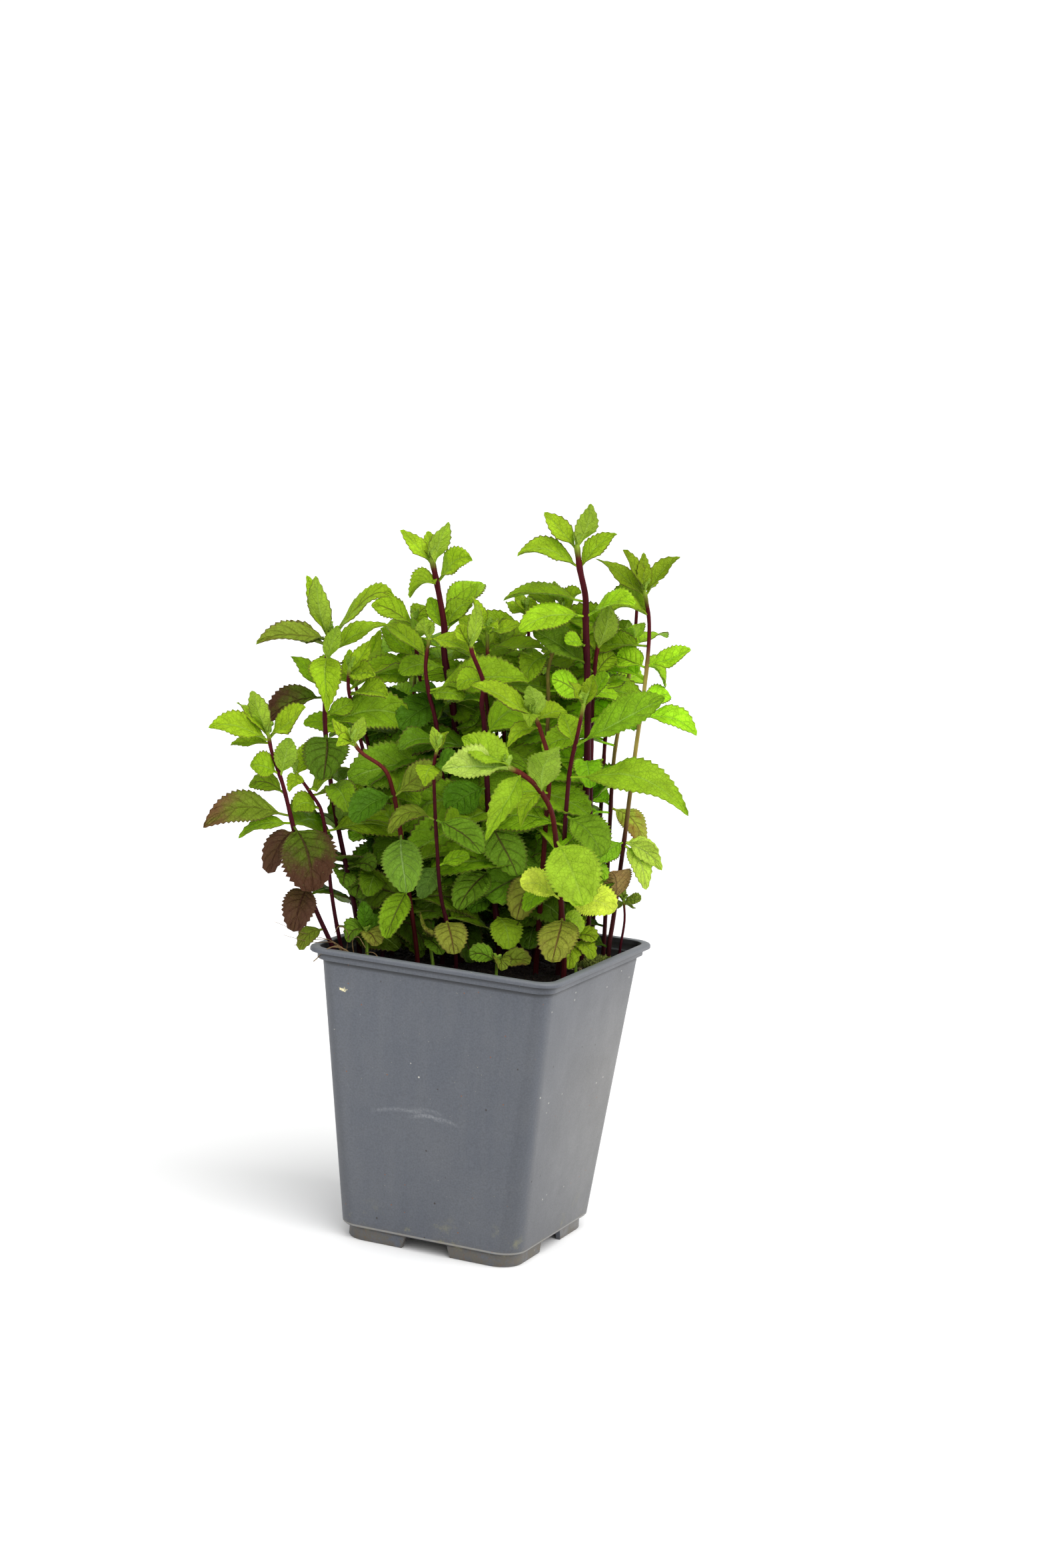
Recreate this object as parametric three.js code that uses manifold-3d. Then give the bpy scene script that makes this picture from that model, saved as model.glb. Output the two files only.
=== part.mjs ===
// A mint plant in a square nursery pot: a thin moulded pot standing on four corner feet,
// the potting soil that fills it, and the leafy stems and low shoots that stand in the soil.
// Millimetres, +Z up. The origin is the middle of the pot at the level that its feet stand on;
// the pot's sides lie along X and Y.

import * as THREE from 'three';
import Module from 'manifold-3d';
import { mergeVertices } from 'three/addons/utils/BufferGeometryUtils.js';

const wasm = await Module();
wasm.setup();

// Pot: widths across the flats, heights above the surface that the pot stands on
const RIM_WIDTH = 110;
const POT_HEIGHT = 122;
const ROLL_HEIGHT = 2.3;
const ROLL_EASE = 0.6;
const LEDGE = 0.5;
const SKIRT_WIDTH = 104.8;
const SKIRT_BOTTOM = 116.6;
const BODY_TOP_WIDTH = 101.4;
const BODY_BOTTOM_WIDTH = 81.6;
const FOOT_HEIGHT = 5.7;
const FOOT_WIDTH = 77.2;
const FOOT_WALL = 2;
const WALL = 1;
const CORNER_TOP = 7.5;
const CORNER_BOTTOM = 10;
const CORNER_STEPS = 3;
const NOTCH_WIDTH = 18;
const NOTCH_FLARE = 2;
const FLOOR_TOP = FOOT_HEIGHT + 1.2;
const DRAIN_RADIUS = 4;
const DRAIN_SIDES = 10;
const DRAIN_SPACING = 22;

// Soil: it fills the pot, a little lower than the rim, and is heaped at one side
const FIT_GAP = 0.3;
const SOIL_LEVEL = 112;
const SOIL_RIPPLE = 0.9;
const RIPPLE_ALONG_X = 0.21;
const RIPPLE_ALONG_Y = 0.17;
const HEAP_HEIGHT = 5;
const HEAP_SPREAD = 9;
const HEAP_PLACE = [40, 20];
const SOIL_RINGS = [1, 0.74, 0.46, 0.2];

// Stems: square in section, as mint stems are, each in a plain hole in the soil
const STEM_FOOT = 100;
const STEM_SIDES = 4;
const HOLE_GAP = 0.6;
// Half the diagonal of a stem's section, whose corners are a little worn, as a share of its thickness
const STEM_CORNER = 0.636;
const STEM_STEP = 30;
const HALVINGS = 30;

// Leaves
const BLADE_THICKNESS = 0.7;
const PETIOLE_WIDTH = 1.3;
const LEAF_GAP = 0.35;
const KEY_STEP = 50;
const SMOOTHING = 0.05;
const FOLD = 12;
const LARGE_WIDTH = 14;
const MIDDLE_WIDTH = 12;
const SLIM_WIDTH = 10;
const FLAT_WIDTH = 1.14;
const LIGHT_SHARE = 0.78;
const LIGHT_SPREAD = 12;
const ROLL_LIMIT = 62;
const ROLL_REACH = 0.4;
const SAME_STEM_OVERLAP = 0.5;
const ROOT_SHIFT = 0.2;
const YOUNG_REACH = 12;
const HIDDEN_HEADINGS = [35, 145];
const INNER_HEADINGS = [190, 350];
const FURTHER_SPAN = 60;
const YOUNG_PETIOLE = 0.12;
const OLD_PETIOLE = 0.2;
const BROAD = 0.5;
const WIDEST_EARLY = 0.82;
const BROAD_ROUND = 0.62;
const NARROW_ROUND = 0.8;

// The plant is listed in axes turned by this many degrees from the pot's sides:
// "right" and "back" lie level and square to each other, "up" is +Z.
const PLANT_TURN = 23.4;

// Each stem: its thickness at the foot and at the top, the points [right, back, height] that it
// passes, and its leaves as [height on the stem, then how far the leaf's tip lies to the right,
// back and up from there, the blade's width, how far the leaf arches above the straight line].
// "hidden" gives the heights of further leaves that grow towards the back of the plant, and
// "inner" of those that grow among the stems, towards the front.
const STEMS = [
  { name: 'stem_left_low', thick: [2.8, 1.8],
    path: [[-55, -19, 108], [-61, -20, 121], [-71, -22, 142], [-79, -24, 169], [-84, -25, 186],
      [-89, -26, 199], [-91, -26, 207]],
    leaves: [[206, -7, -4, 18, 8, 2], [206, -13, 4, 12, 8, 2], [204, -23, -11, 5, 13, 5],
      [203, -16, 7, -3, 7, 2],
      [205, 14, -5, 14, 12, 4], [191, -11, -5, 3, 11, 3], [190, 3, -3, 16, 9, 0], [183, -15, 6, 1, 8, 4],
      [174, -33, -13, -5, 14, 9], [171, -20, -9, -6, 8, 5], [168, -7, -8, -17, 11, 10],
      [170, 10, -12, -24, 22, 8],
      [145, -4, -8, -17, 13, 8], [141, -4, 4, -13, 6, 4], [128, -9, -6, -8, 7, 5]],
    hidden: [160], inner: [] },
  { name: 'stem_left_inner', thick: [2.4, 1.6],
    path: [[-53, -12, 108], [-58, -12, 120], [-63, -14, 142], [-68, -14, 172], [-74, -12, 182],
      [-81, -10, 190]],
    leaves: [[189, 3, 3, 13, 10, 0], [189, -2, -4, -7, 7, 3], [183, 9, -4, 6, 8, 2],
      [176, -10, -6, -1, 10, 4]],
    hidden: [150], inner: [] },
  { name: 'stem_left_high', thick: [2.7, 1.8],
    path: [[-50, -6, 108], [-52, -8, 128], [-58, -8, 152], [-65, -6, 179], [-70, -4, 208],
      [-71, -2, 230], [-71, 0, 246]],
    leaves: [[244, -13, 4, 24, 8, 2], [244, -6, -2, 25, 9, 0], [243, -31, -4, -2, 14, 9],
      [241, -24, -9, 2, 12, 5],
      [236, 2, -11, -21, 14, 9], [242, 29, 3, 21, 14, 14], [235, 4, -6, 15, 7, 0],
      [220, -22, -3, -11, 13, 8],
      [222, -15, 6, 13, 8, 2], [212, 10, 6, 6, 8, 2], [205, 1, -12, -17, 18, 7], [169, 4, -6, 10, 8, 2],
      [149, -10, -9, -11, 14, 6], [151, 14, -5, 2, 9, 4]],
    hidden: [228, 190], inner: [185] },
  { name: 'stem_left_arch', thick: [2.6, 1.7],
    path: [[-42, 0, 108], [-42, 1, 125], [-49, 4, 186], [-53, 4, 194], [-59, 4, 213], [-62, 4, 224],
      [-62, 4, 232]],
    leaves: [[232, -4, -2, 21, 11, 0], [228, 11, -7, 2, 10, 3], [221, 16, -9, 1, 13, 3],
      [230, 8, 4, 13, 7, 0]],
    hidden: [170], inner: [206, 150] },
  { name: 'stem_left_back', thick: [2.5, 1.6],
    path: [[-38, 14, 108], [-39, 14, 125], [-45, 18, 179], [-50, 20, 187], [-58, 24, 214],
      [-61, 26, 225]],
    leaves: [[223, 12, 8, 22, 8, 0], [222, -11, 6, 4, 10, 3], [214, 10, 8, -3, 11, 4],
      [223, -3, 3, 14, 8, 0]],
    hidden: [196, 165], inner: [145] },
  { name: 'stem_left_tall', thick: [3, 2],
    path: [[-10, 12, 108], [-10, 12, 125], [-17, 18, 203], [-24, 20, 237], [-25, 20, 250],
      [-29, 20, 267], [-32, 20, 278]],
    leaves: [[275, -14, 2, 13, 8, 1], [277, -5, 6, 11, 7, 0], [275, 5, -2, 18, 8, 0],
      [268, 14, -5, 10, 13, 4],
      [268, -10, -5, -7, 13, 9], [248, -7, 5, 13, 7, 1], [249, 10, 4, 11, 10, 3], [247, 13, 9, 21, 8, 0],
      [233, -18, -10, -3, 12, 4], [220, -20, -14, -12, 15, 5], [218, -17, -16, 6, 10, 2],
      [232, 9, -12, -5, 12, 4],
      [207, 8, -10, 5, 12, 4]],
    hidden: [236, 215], inner: [190, 160] },
  { name: 'stem_left_bow', thick: [2.3, 1.7],
    path: [[-26, -14, 108], [-27, -15, 121], [-32, -18, 147], [-36, -22, 169], [-40, -26, 187],
      [-44, -28, 196],
      [-53, -30, 202], [-57, -31, 207]],
    leaves: [[206, -9, 2, 9, 6, 0], [206, 3, -2, 11, 6, 0], [205, -7, -6, 0, 6, 2],
      [185, -15, -10, -10, 13, 6],
      [185, 18, -4, 10, 13, 4], [169, 4, -9, -22, 16, 7], [146, -7, -9, -19, 12, 6]],
    hidden: [], inner: [] },
  { name: 'stem_middle_left', thick: [2.7, 1.8],
    path: [[-23, 22, 108], [-23, 22, 125], [-25, 26, 176], [-31, 28, 215], [-35, 30, 231],
      [-38, 30, 251]],
    leaves: [[248, -18, -4, 8, 14, 4], [234, -16, 4, 12, 10, 2], [249, 6, 5, 7, 9, 2],
      [231, -23, -6, -2, 12, 4],
      [218, -25, -8, -9, 15, 5], [210, -25, -4, -11, 13, 5], [204, -18, -8, -16, 15, 7]],
    hidden: [236, 196], inner: [180, 150] },
  { name: 'stem_middle_left_front', thick: [2.5, 1.7],
    path: [[-17, 4, 108], [-17, 4, 125], [-20, 4, 177], [-25, 2, 210], [-29, 2, 224], [-31, 2, 235],
      [-30, 2, 248]],
    leaves: [[246, 19, -8, -5, 12, 5], [237, -8, -7, -3, 12, 6], [246, -2, -4, 9, 8, 0],
      [224, 14, -8, -1, 12, 4]],
    hidden: [180], inner: [205, 155] },
  { name: 'stem_middle', thick: [3.2, 1.7],
    path: [[6, -5, 108], [6, -5, 125], [1, -6, 155], [-5, -8, 210], [-7, -8, 222], [-7, -8, 231],
      [-12, -8, 242], [-13, -8, 246]],
    leaves: [[245, 1, -2, 18, 6, 0], [244, -6, 4, 9, 8, 2], [231, -10, 3, -4, 10, 3],
      [188, -15, -3, -10, 16, 5],
      [176, 13, -14, -21, 17, 6], [154, -12, -12, -15, 14, 7], [141, -10, -4, -4, 9, 4],
      [135, 6, -12, -11, 13, 6]],
    hidden: [], inner: [] },
  { name: 'stem_middle_twin', thick: [2.6, 1.6],
    path: [[6, 4, 108], [6, 4, 125], [3, 5, 145], [0, 6, 187], [-4, 8, 214], [-6, 9, 225],
      [-6, 10, 235], [-7, 10, 251]],
    leaves: [[250, -7, -3, 14, 9, 0], [249, 14, -4, 5, 8, 2], [250, 4, -9, 2, 9, 4],
      [248, -12, 5, 5, 9, 3],
      [235, 8, 8, -9, 11, 4]],
    hidden: [200, 165], inner: [178, 146] },
  { name: 'stem_middle_back', thick: [2.5, 1.6],
    path: [[9, 20, 108], [9, 20, 125], [4, 24, 179], [1, 26, 234], [-1, 26, 245]],
    leaves: [[244, 0, -3, 11, 8, 0], [242, 9, 4, 10, 9, 2], [242, -8, 5, 3, 9, 2],
      [231, 11, -6, -6, 11, 4]],
    hidden: [222, 185], inner: [165] },
  { name: 'stem_back_thin', thick: [2.4, 1.4],
    path: [[14, 34, 108], [14, 34, 125], [8, 36, 177], [9, 38, 222], [10, 40, 245], [8, 40, 258]],
    leaves: [[256, -6, -2, 9, 6, 0], [256, 2, 2, 8, 6, 0], [255, -9, 5, 4, 7, 1],
      [245, 8, -5, -10, 12, 4],
      [222, 13, 6, -6, 12, 4]],
    hidden: [236, 205], inner: [170] },
  { name: 'stem_right_olive', thick: [2.5, 1.5],
    path: [[21, 14, 108], [21, 14, 125], [21, 12, 168], [20, 12, 220], [19, 14, 236], [22, 16, 250],
      [22, 16, 264]],
    leaves: [[263, -3, -2, 9, 6, 0], [263, 3, 3, 9, 6, 0], [261, -15, 4, 8, 9, 2], [260, 8, -5, 8, 11, 3],
      [241, -10, -6, -11, 12, 5]],
    hidden: [228, 200], inner: [180, 152] },
  { name: 'stem_right_tall', thick: [3.1, 2.1],
    path: [[40, 2, 108], [40, 2, 125], [38, 4, 184], [36, 5, 223], [33, 6, 255], [32, 6, 267],
      [29, 6, 278], [27, 6, 288]],
    leaves: [[287, 4, -2, 18, 9, 0], [286, -14, 2, 14, 9, 1], [279, 14, 4, 14, 10, 2],
      [279, -25, -6, 3, 13, 7],
      [259, 22, 4, 7, 12, 7], [259, -26, -10, -7, 15, 10], [247, -8, -7, 1, 9, 2],
      [225, -15, -4, 8, 13, 3],
      [225, 7, -4, 12, 9, 0]],
    hidden: [240], inner: [200, 166] },
  { name: 'stem_right_mate', thick: [2.6, 1.8],
    path: [[43, 12, 108], [43, 12, 125], [40, 12, 183], [38, 12, 222], [38, 10, 241], [39, 10, 249]],
    leaves: [[246, 3, -6, 19, 10, 1], [245, -5, 6, 10, 9, 1], [236, -26, -10, 16, 17, 4],
      [234, 8, 6, 9, 9, 2]],
    hidden: [228], inner: [206, 158] },
  { name: 'stem_right_high', thick: [2.6, 1.8],
    path: [[52, 15, 108], [52, 15, 122], [53, 15, 134], [55, 13, 166], [57, 12, 204], [59, 12, 234],
      [59, 12, 256], [56, 12, 271]],
    leaves: [[270, -10, -4, 17, 8, 0], [270, -1, 2, 16, 8, 0], [268, -21, 3, 14, 8, 2],
      [269, 13, 4, 16, 8, 2],
      [261, 20, -4, 13, 13, 3], [261, -17, -4, -2, 11, 7], [240, 17, -3, 8, 10, 1],
      [240, 8, 8, -9, 14, 4],
      [239, -12, 6, 3, 12, 3], [219, 23, -4, -6, 11, 5], [223, 11, 6, 5, 9, 2], [166, 15, 3, -5, 7, 3],
      [166, 16, -4, -10, 8, 5], [165, 10, -7, -17, 10, 6], [166, -13, -4, -7, 10, 3],
      [141, -7, -9, 14, 14, 3]],
    hidden: [], inner: [] },
  { name: 'stem_right_inner', thick: [2.4, 1.6],
    path: [[50, 24, 108], [50, 24, 125], [49, 26, 173], [49, 28, 201], [52, 30, 226], [54, 32, 250],
      [54, 33, 269]],
    leaves: [[267, -8, 5, 12, 7, 0], [267, 7, 6, 13, 7, 0], [250, -10, -5, -10, 11, 6],
      [248, -2, -7, 6, 10, 2],
      [178, 14, -7, -14, 15, 7], [179, -8, 4, 4, 8, 2]],
    hidden: [246, 215], inner: [200] },
  { name: 'stem_right_back', thick: [2.4, 1.6],
    path: [[45, 28, 108], [45, 28, 125], [45, 31, 176], [45, 34, 190], [45, 36, 208], [47, 40, 230],
      [47, 42, 248]],
    leaves: [[246, -8, 4, 10, 8, 1], [246, 4, -4, 10, 8, 2], [225, -5, -7, -6, 11, 4],
      [228, 12, 22, 3, 12, 4]],
    hidden: [236, 205], inner: [] },
  { name: 'stem_front_bow', thick: [3.3, 2.6],
    path: [[33, -24, 108], [33, -24, 122], [30, -27, 148], [26, -31, 174], [23, -36, 186],
      [17, -41, 195], [11, -45, 200], [5, -48, 203]],
    leaves: [[202, -27, -7, -1, 17, 4], [202, -20, 3, 11, 15, 3], [200, -12, -9, -26, 12, 9],
      [193, 6, -6, 19, 14, 1],
      [192, -7, -6, -13, 8, 5], [191, 9, 5, -14, 11, 5], [172, 12, -13, -23, 22, 8],
      [148, 21, -9, -2, 15, 5],
      [148, -16, -10, 6, 12, 4], [140, -3, -16, -15, 16, 8], [140, 8, 5, -6, 9, 4]],
    hidden: [], inner: [] },
  { name: 'stem_front_right', thick: [2.6, 1.8],
    path: [[31, -12, 108], [31, -12, 125], [30, -14, 159], [30, -17, 196], [32, -19, 212],
      [34, -20, 227]],
    leaves: [[209, 25, -8, 17, 18, 4], [196, 47, -29, -8, 17, 12], [180, 15, -10, -14, 18, 5],
      [209, -6, 6, 12, 12, 2],
      [225, 3, 3, 13, 8, 0], [226, -7, -4, 10, 8, 0]],
    hidden: [], inner: [150] },
  { name: 'stem_yellow_top', thick: [3.2, 2],
    path: [[22, -4, 108], [22, -5, 125], [22, -8, 154], [22, -10, 179], [22, -12, 199], [18, -14, 212],
      [14, -15, 221]],
    leaves: [[219, -3, -2, 13, 9, 0], [219, -2, -9, -3, 8, 5], [217, -27, -7, 14, 15, 3],
      [215, -12, -7, -8, 7, 3],
      [218, 15, 5, 2, 11, 3], [154, -9, -12, -17, 14, 7]],
    hidden: [], inner: [188] },
  { name: 'stem_front_left', thick: [2, 1.5],
    path: [[-11, -20, 108], [-11, -20, 121], [-18, -24, 144], [-21, -27, 166], [-23, -30, 185],
      [-24, -32, 199], [-23, -33, 207]],
    leaves: [[205, -2, -1, 10, 5, 0], [205, 4, 2, 8, 5, 0], [200, -15, 3, 9, 7, 1],
      [199, -3, -9, -7, 11, 4],
      [199, 10, -4, 4, 11, 3], [177, -18, -5, -6, 10, 11], [177, 19, -9, -11, 15, 5],
      [158, -6, 5, -15, 9, 5],
      [158, 12, 4, 4, 8, 3], [135, 4, -12, -11, 13, 6]],
    hidden: [], inner: [] },
  { name: 'stem_back_left', thick: [2.6, 1.6],
    path: [[-24, 36, 108], [-24, 36, 125], [-32, 42, 170], [-36, 46, 205], [-37, 47, 228]],
    leaves: [[227, -5, 7, 12, 8, 0], [227, 5, -6, 12, 8, 0], [225, -11, -5, 6, 10, 3],
      [225, 10, 6, 6, 10, 3]],
    hidden: [214, 194, 172, 146], inner: [] },
  { name: 'stem_back_middle', thick: [2.6, 1.6],
    path: [[4, 44, 108], [4, 44, 125], [1, 49, 170], [-1, 52, 205], [-2, 53, 232]],
    leaves: [[231, 5, 8, 13, 8, 0], [231, -5, -6, 12, 8, 0], [229, 10, -6, 6, 10, 3],
      [229, -11, 6, 6, 10, 3]],
    hidden: [218, 198, 176, 150], inner: [] },
  { name: 'stem_back_right', thick: [2.6, 1.6],
    path: [[30, 35, 108], [30, 35, 125], [27, 41, 170], [26, 45, 205], [26, 47, 236]],
    leaves: [[235, 5, 8, 13, 8, 0], [235, -5, -6, 12, 8, 0], [233, 9, -7, 6, 10, 3],
      [233, -10, 7, 6, 10, 3]],
    hidden: [222, 202, 178], inner: [] },
  { name: 'shoot_left', thick: [2, 1.4],
    path: [[-46, -15, 106], [-47, -16, 118], [-48, -18, 128]],
    leaves: [[127, -6, -4, -4, 11, 6], [127, 5, -6, -4, 10, 5], [127, -2, 0, 13, 7, 0],
      [126, 7, 4, 5, 8, 3]],
    hidden: [], inner: [] },
  { name: 'shoot_middle', thick: [2, 1.4],
    path: [[-19, -8, 106], [-21, -9, 118], [-23, -10, 126]],
    leaves: [[125, -9, -6, 1, 12, 4], [124, 6, -8, -4, 9, 4], [124, 12, 4, -1, 10, 5],
      [125, -5, 8, 6, 9, 3]],
    hidden: [], inner: [] },
  { name: 'shoot_front', thick: [2, 1.4],
    path: [[6, -23, 106], [6, -24, 116], [6, -25, 121]],
    leaves: [[120, 13, -4, 1, 9, 4], [120, -11, -2, 2, 9, 3], [120, 2, -7, -2, 8, 5]],
    hidden: [], inner: [] },
  { name: 'shoot_right', thick: [2, 1.4],
    path: [[39, -9, 106], [38, -9, 118], [36, -9, 130]],
    leaves: [[129, 9, -4, 0, 9, 4], [127, 8, -8, -5, 8, 6], [127, -7, -9, -9, 9, 6],
      [129, 2, 7, 7, 8, 2]],
    hidden: [], inner: [] },
  { name: 'shoot_right_back', thick: [1.4, 1.1],
    path: [[56, 22, 106], [57, 23, 120], [58, 24, 131], [57, 24, 140]],
    leaves: [[139, 7, -2, 2, 5, 1], [139, -5, -3, -4, 5, 1], [138, 4, 5, -2, 5, 1],
      [139, -2, 2, 6, 4, 0]],
    hidden: [], inner: [] },
];

const LEAF_GREEN = 0x7fb52a;
const YOUNG_GREEN = 0x9bc81e;
const PAINT = {
  pot: { color: 0x676a6f, roughness: 0.55, metalness: 0 },
  soil: { color: 0x2a211a, roughness: 1, metalness: 0 },
  stem: { color: LEAF_GREEN, roughness: 0.6, metalness: 0 },
  shoot: { color: YOUNG_GREEN, roughness: 0.6, metalness: 0 },
};

const UP = new THREE.Vector3(0, 0, 1);
const RIGHT = new THREE.Vector3(1, 0, 0).applyAxisAngle(UP, THREE.MathUtils.degToRad(PLANT_TURN));
const BACK = new THREE.Vector3().crossVectors(UP, RIGHT);
// The way that the daylight came from while the plant grew: over its front
const LIGHT = new THREE.Vector3().addScaledVector(BACK, -0.8).addScaledVector(UP, 0.6);

// Closed shapes

function geometryOf(points, faces) {
  const geometry = new THREE.BufferGeometry();
  geometry.setFromPoints(points);
  geometry.setIndex(faces.flat());
  return geometry;
}

function solidOf(geometry) {
  const bare = geometry.clone();
  bare.deleteAttribute('normal');
  bare.deleteAttribute('uv');
  const merged = mergeVertices(bare);
  return new wasm.Manifold(new wasm.Mesh({
    numProp: 3,
    vertProperties: new Float32Array(merged.attributes.position.array),
    triVerts: new Uint32Array(merged.index.array),
  }));
}

// The closed skin over a row of rings; every ring runs anticlockwise about the way of the row
function skin(rings) {
  const count = rings[0].length;
  const faces = [];
  for (let row = 0; row + 1 < rings.length; row++) {
    for (let i = 0; i < count; i++) {
      const here = row * count + i;
      const next = row * count + (i + 1) % count;
      faces.push([here, next, next + count], [here, next + count, here + count]);
    }
  }
  const last = (rings.length - 1) * count;
  for (let i = 1; i + 1 < count; i++) {
    faces.push([0, i + 1, i], [last, last + i, last + i + 1]);
  }
  return geometryOf(rings.flat(), faces);
}

function squareRing(width, corner, heightAt) {
  const ring = [];
  const middle = width / 2 - corner;
  for (let quarter = 0; quarter < 4; quarter++) {
    const start = quarter * Math.PI / 2;
    const centre = new THREE.Vector2(middle, middle).rotateAround(new THREE.Vector2(), start);
    for (let step = 0; step <= CORNER_STEPS; step++) {
      const angle = start + step / CORNER_STEPS * Math.PI / 2;
      const x = centre.x + corner * Math.cos(angle);
      const y = centre.y + corner * Math.sin(angle);
      ring.push(new THREE.Vector3(x, y, heightAt(x, y)));
    }
  }
  return ring;
}

const levelRing = ([width, corner, z]) => squareRing(width, corner, () => z);

// Pot

function bodyWidthAt(z) {
  const share = (z - FOOT_HEIGHT) / (SKIRT_BOTTOM - FOOT_HEIGHT);
  return THREE.MathUtils.lerp(BODY_BOTTOM_WIDTH, BODY_TOP_WIDTH, share);
}

function cornerAt(z) {
  const share = (z - FOOT_HEIGHT) / (SKIRT_BOTTOM - FOOT_HEIGHT);
  return THREE.MathUtils.lerp(CORNER_BOTTOM, CORNER_TOP, share);
}

function potShell() {
  const rollBottom = POT_HEIGHT - ROLL_HEIGHT;
  return skin([
    [BODY_BOTTOM_WIDTH, CORNER_BOTTOM, FOOT_HEIGHT],
    [BODY_TOP_WIDTH, CORNER_TOP, SKIRT_BOTTOM],
    [SKIRT_WIDTH, CORNER_TOP, SKIRT_BOTTOM + LEDGE],
    [SKIRT_WIDTH, CORNER_TOP, rollBottom],
    [RIM_WIDTH, CORNER_TOP + 1, rollBottom + LEDGE],
    [RIM_WIDTH, CORNER_TOP + 1, POT_HEIGHT - ROLL_EASE],
    [RIM_WIDTH - 2 * ROLL_EASE, CORNER_TOP + 1, POT_HEIGHT],
    [SKIRT_WIDTH - 2 * WALL, CORNER_TOP - WALL, POT_HEIGHT],
    [SKIRT_WIDTH - 2 * WALL, CORNER_TOP - WALL, SKIRT_BOTTOM + WALL],
    [BODY_TOP_WIDTH - 2 * WALL, CORNER_TOP - WALL, SKIRT_BOTTOM - LEDGE],
    [bodyWidthAt(FLOOR_TOP) - 2 * WALL, CORNER_BOTTOM - WALL, FLOOR_TOP],
  ].map(levelRing));
}

function footRing() {
  const sunk = FOOT_HEIGHT + WALL / 2;
  const inside = FOOT_WIDTH - 2 * FOOT_WALL;
  const block = (width, corner, low, high) => solidOf(skin([
    [width, corner, low],
    [width, corner, high],
  ].map(levelRing)));
  return block(FOOT_WIDTH, CORNER_BOTTOM, 0, sunk)
    .subtract(block(inside, CORNER_BOTTOM - FOOT_WALL, -1, sunk + 1));
}

// The gap between two corner feet, a bar right across the pot with slanted ends
function notchBar(turn) {
  const half = NOTCH_WIDTH / 2;
  const outline = new THREE.Shape([
    new THREE.Vector2(-half - NOTCH_FLARE, -1),
    new THREE.Vector2(half + NOTCH_FLARE, -1),
    new THREE.Vector2(half, FOOT_HEIGHT),
    new THREE.Vector2(-half, FOOT_HEIGHT),
  ]);
  const bar = new THREE.ExtrudeGeometry(outline, { depth: RIM_WIDTH, bevelEnabled: false, steps: 1 });
  bar.translate(0, 0, -RIM_WIDTH / 2);
  bar.rotateX(Math.PI / 2);
  bar.rotateZ(turn);
  return solidOf(bar);
}

function drainHole(x, y) {
  const hole = new THREE.CylinderGeometry(DRAIN_RADIUS, DRAIN_RADIUS, 2 * FOOT_HEIGHT, DRAIN_SIDES);
  hole.rotateX(Math.PI / 2);
  hole.translate(x, y, FOOT_HEIGHT);
  return solidOf(hole);
}

function potSolid() {
  let pot = solidOf(potShell()).add(footRing());
  for (const turn of [0, Math.PI / 2]) {
    pot = pot.subtract(notchBar(turn));
  }
  const drains = [[0, 0], [1, 0], [-1, 0], [0, 1], [0, -1]];
  for (const [column, row] of drains) {
    pot = pot.subtract(drainHole(column * DRAIN_SPACING, row * DRAIN_SPACING));
  }
  return pot;
}

// Soil

function soilHeight(x, y) {
  const ripple = SOIL_RIPPLE * Math.sin(RIPPLE_ALONG_X * x + 1) * Math.cos(RIPPLE_ALONG_Y * y);
  const away = Math.hypot(x - HEAP_PLACE[0], y - HEAP_PLACE[1]) / HEAP_SPREAD;
  return SOIL_LEVEL + ripple + HEAP_HEIGHT * Math.exp(-away * away / 2);
}

function soilSolid(holes) {
  const bottom = FLOOR_TOP + FIT_GAP;
  const clear = 2 * (WALL + FIT_GAP);
  const top = bodyWidthAt(SOIL_LEVEL - 2 * SOIL_RIPPLE) - clear;
  const rings = [levelRing([bodyWidthAt(bottom) - clear, cornerAt(bottom) - WALL, bottom])];
  for (const share of SOIL_RINGS) {
    rings.push(squareRing(top * share, (CORNER_TOP - WALL) * share, soilHeight));
  }
  return solidOf(skin(rings)).subtract(wasm.Manifold.union(holes));
}

// Stems

function placeOf([right, back, height]) {
  return new THREE.Vector3(0, 0, height).addScaledVector(RIGHT, right).addScaledVector(BACK, back);
}

function curveOf(stem) {
  const [right, back] = stem.path[0];
  const points = [[right, back, STEM_FOOT], ...stem.path].map(placeOf);
  return new THREE.CatmullRomCurve3(points, false, 'catmullrom', 0.5);
}

function stemTube(curve, thick, extra) {
  const steps = Math.round(2 + curve.getLength() / STEM_STEP);
  const frames = curve.computeFrenetFrames(steps, false);
  const rings = [];
  for (let step = 0; step <= steps; step++) {
    const share = step / steps;
    const radius = STEM_CORNER * THREE.MathUtils.lerp(thick[0], thick[1], share) + extra;
    const centre = curve.getPointAt(share);
    if (step === 0) {
      centre.z -= extra;
    }
    const ring = [];
    for (let side = 0; side < STEM_SIDES; side++) {
      const angle = side / STEM_SIDES * 2 * Math.PI;
      ring.push(centre.clone()
        .addScaledVector(frames.normals[step], radius * Math.cos(angle))
        .addScaledVector(frames.binormals[step], radius * Math.sin(angle)));
    }
    rings.push(ring);
  }
  return solidOf(skin(rings));
}

// The point of a rising curve at a height
function pointAtHeight(curve, height) {
  let low = 0;
  let high = 1;
  for (let halving = 0; halving < HALVINGS; halving++) {
    const middle = (low + high) / 2;
    if (curve.getPoint(middle).z < height) {
      low = middle;
    } else {
      high = middle;
    }
  }
  return curve.getPoint(low);
}

// Leaves

// A steady random number from 0 to 1 for each number
function chance(number) {
  const wave = Math.sin(number * 12.9898 + 4.1) * 43758.5453;
  return wave - Math.floor(wave);
}

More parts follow.
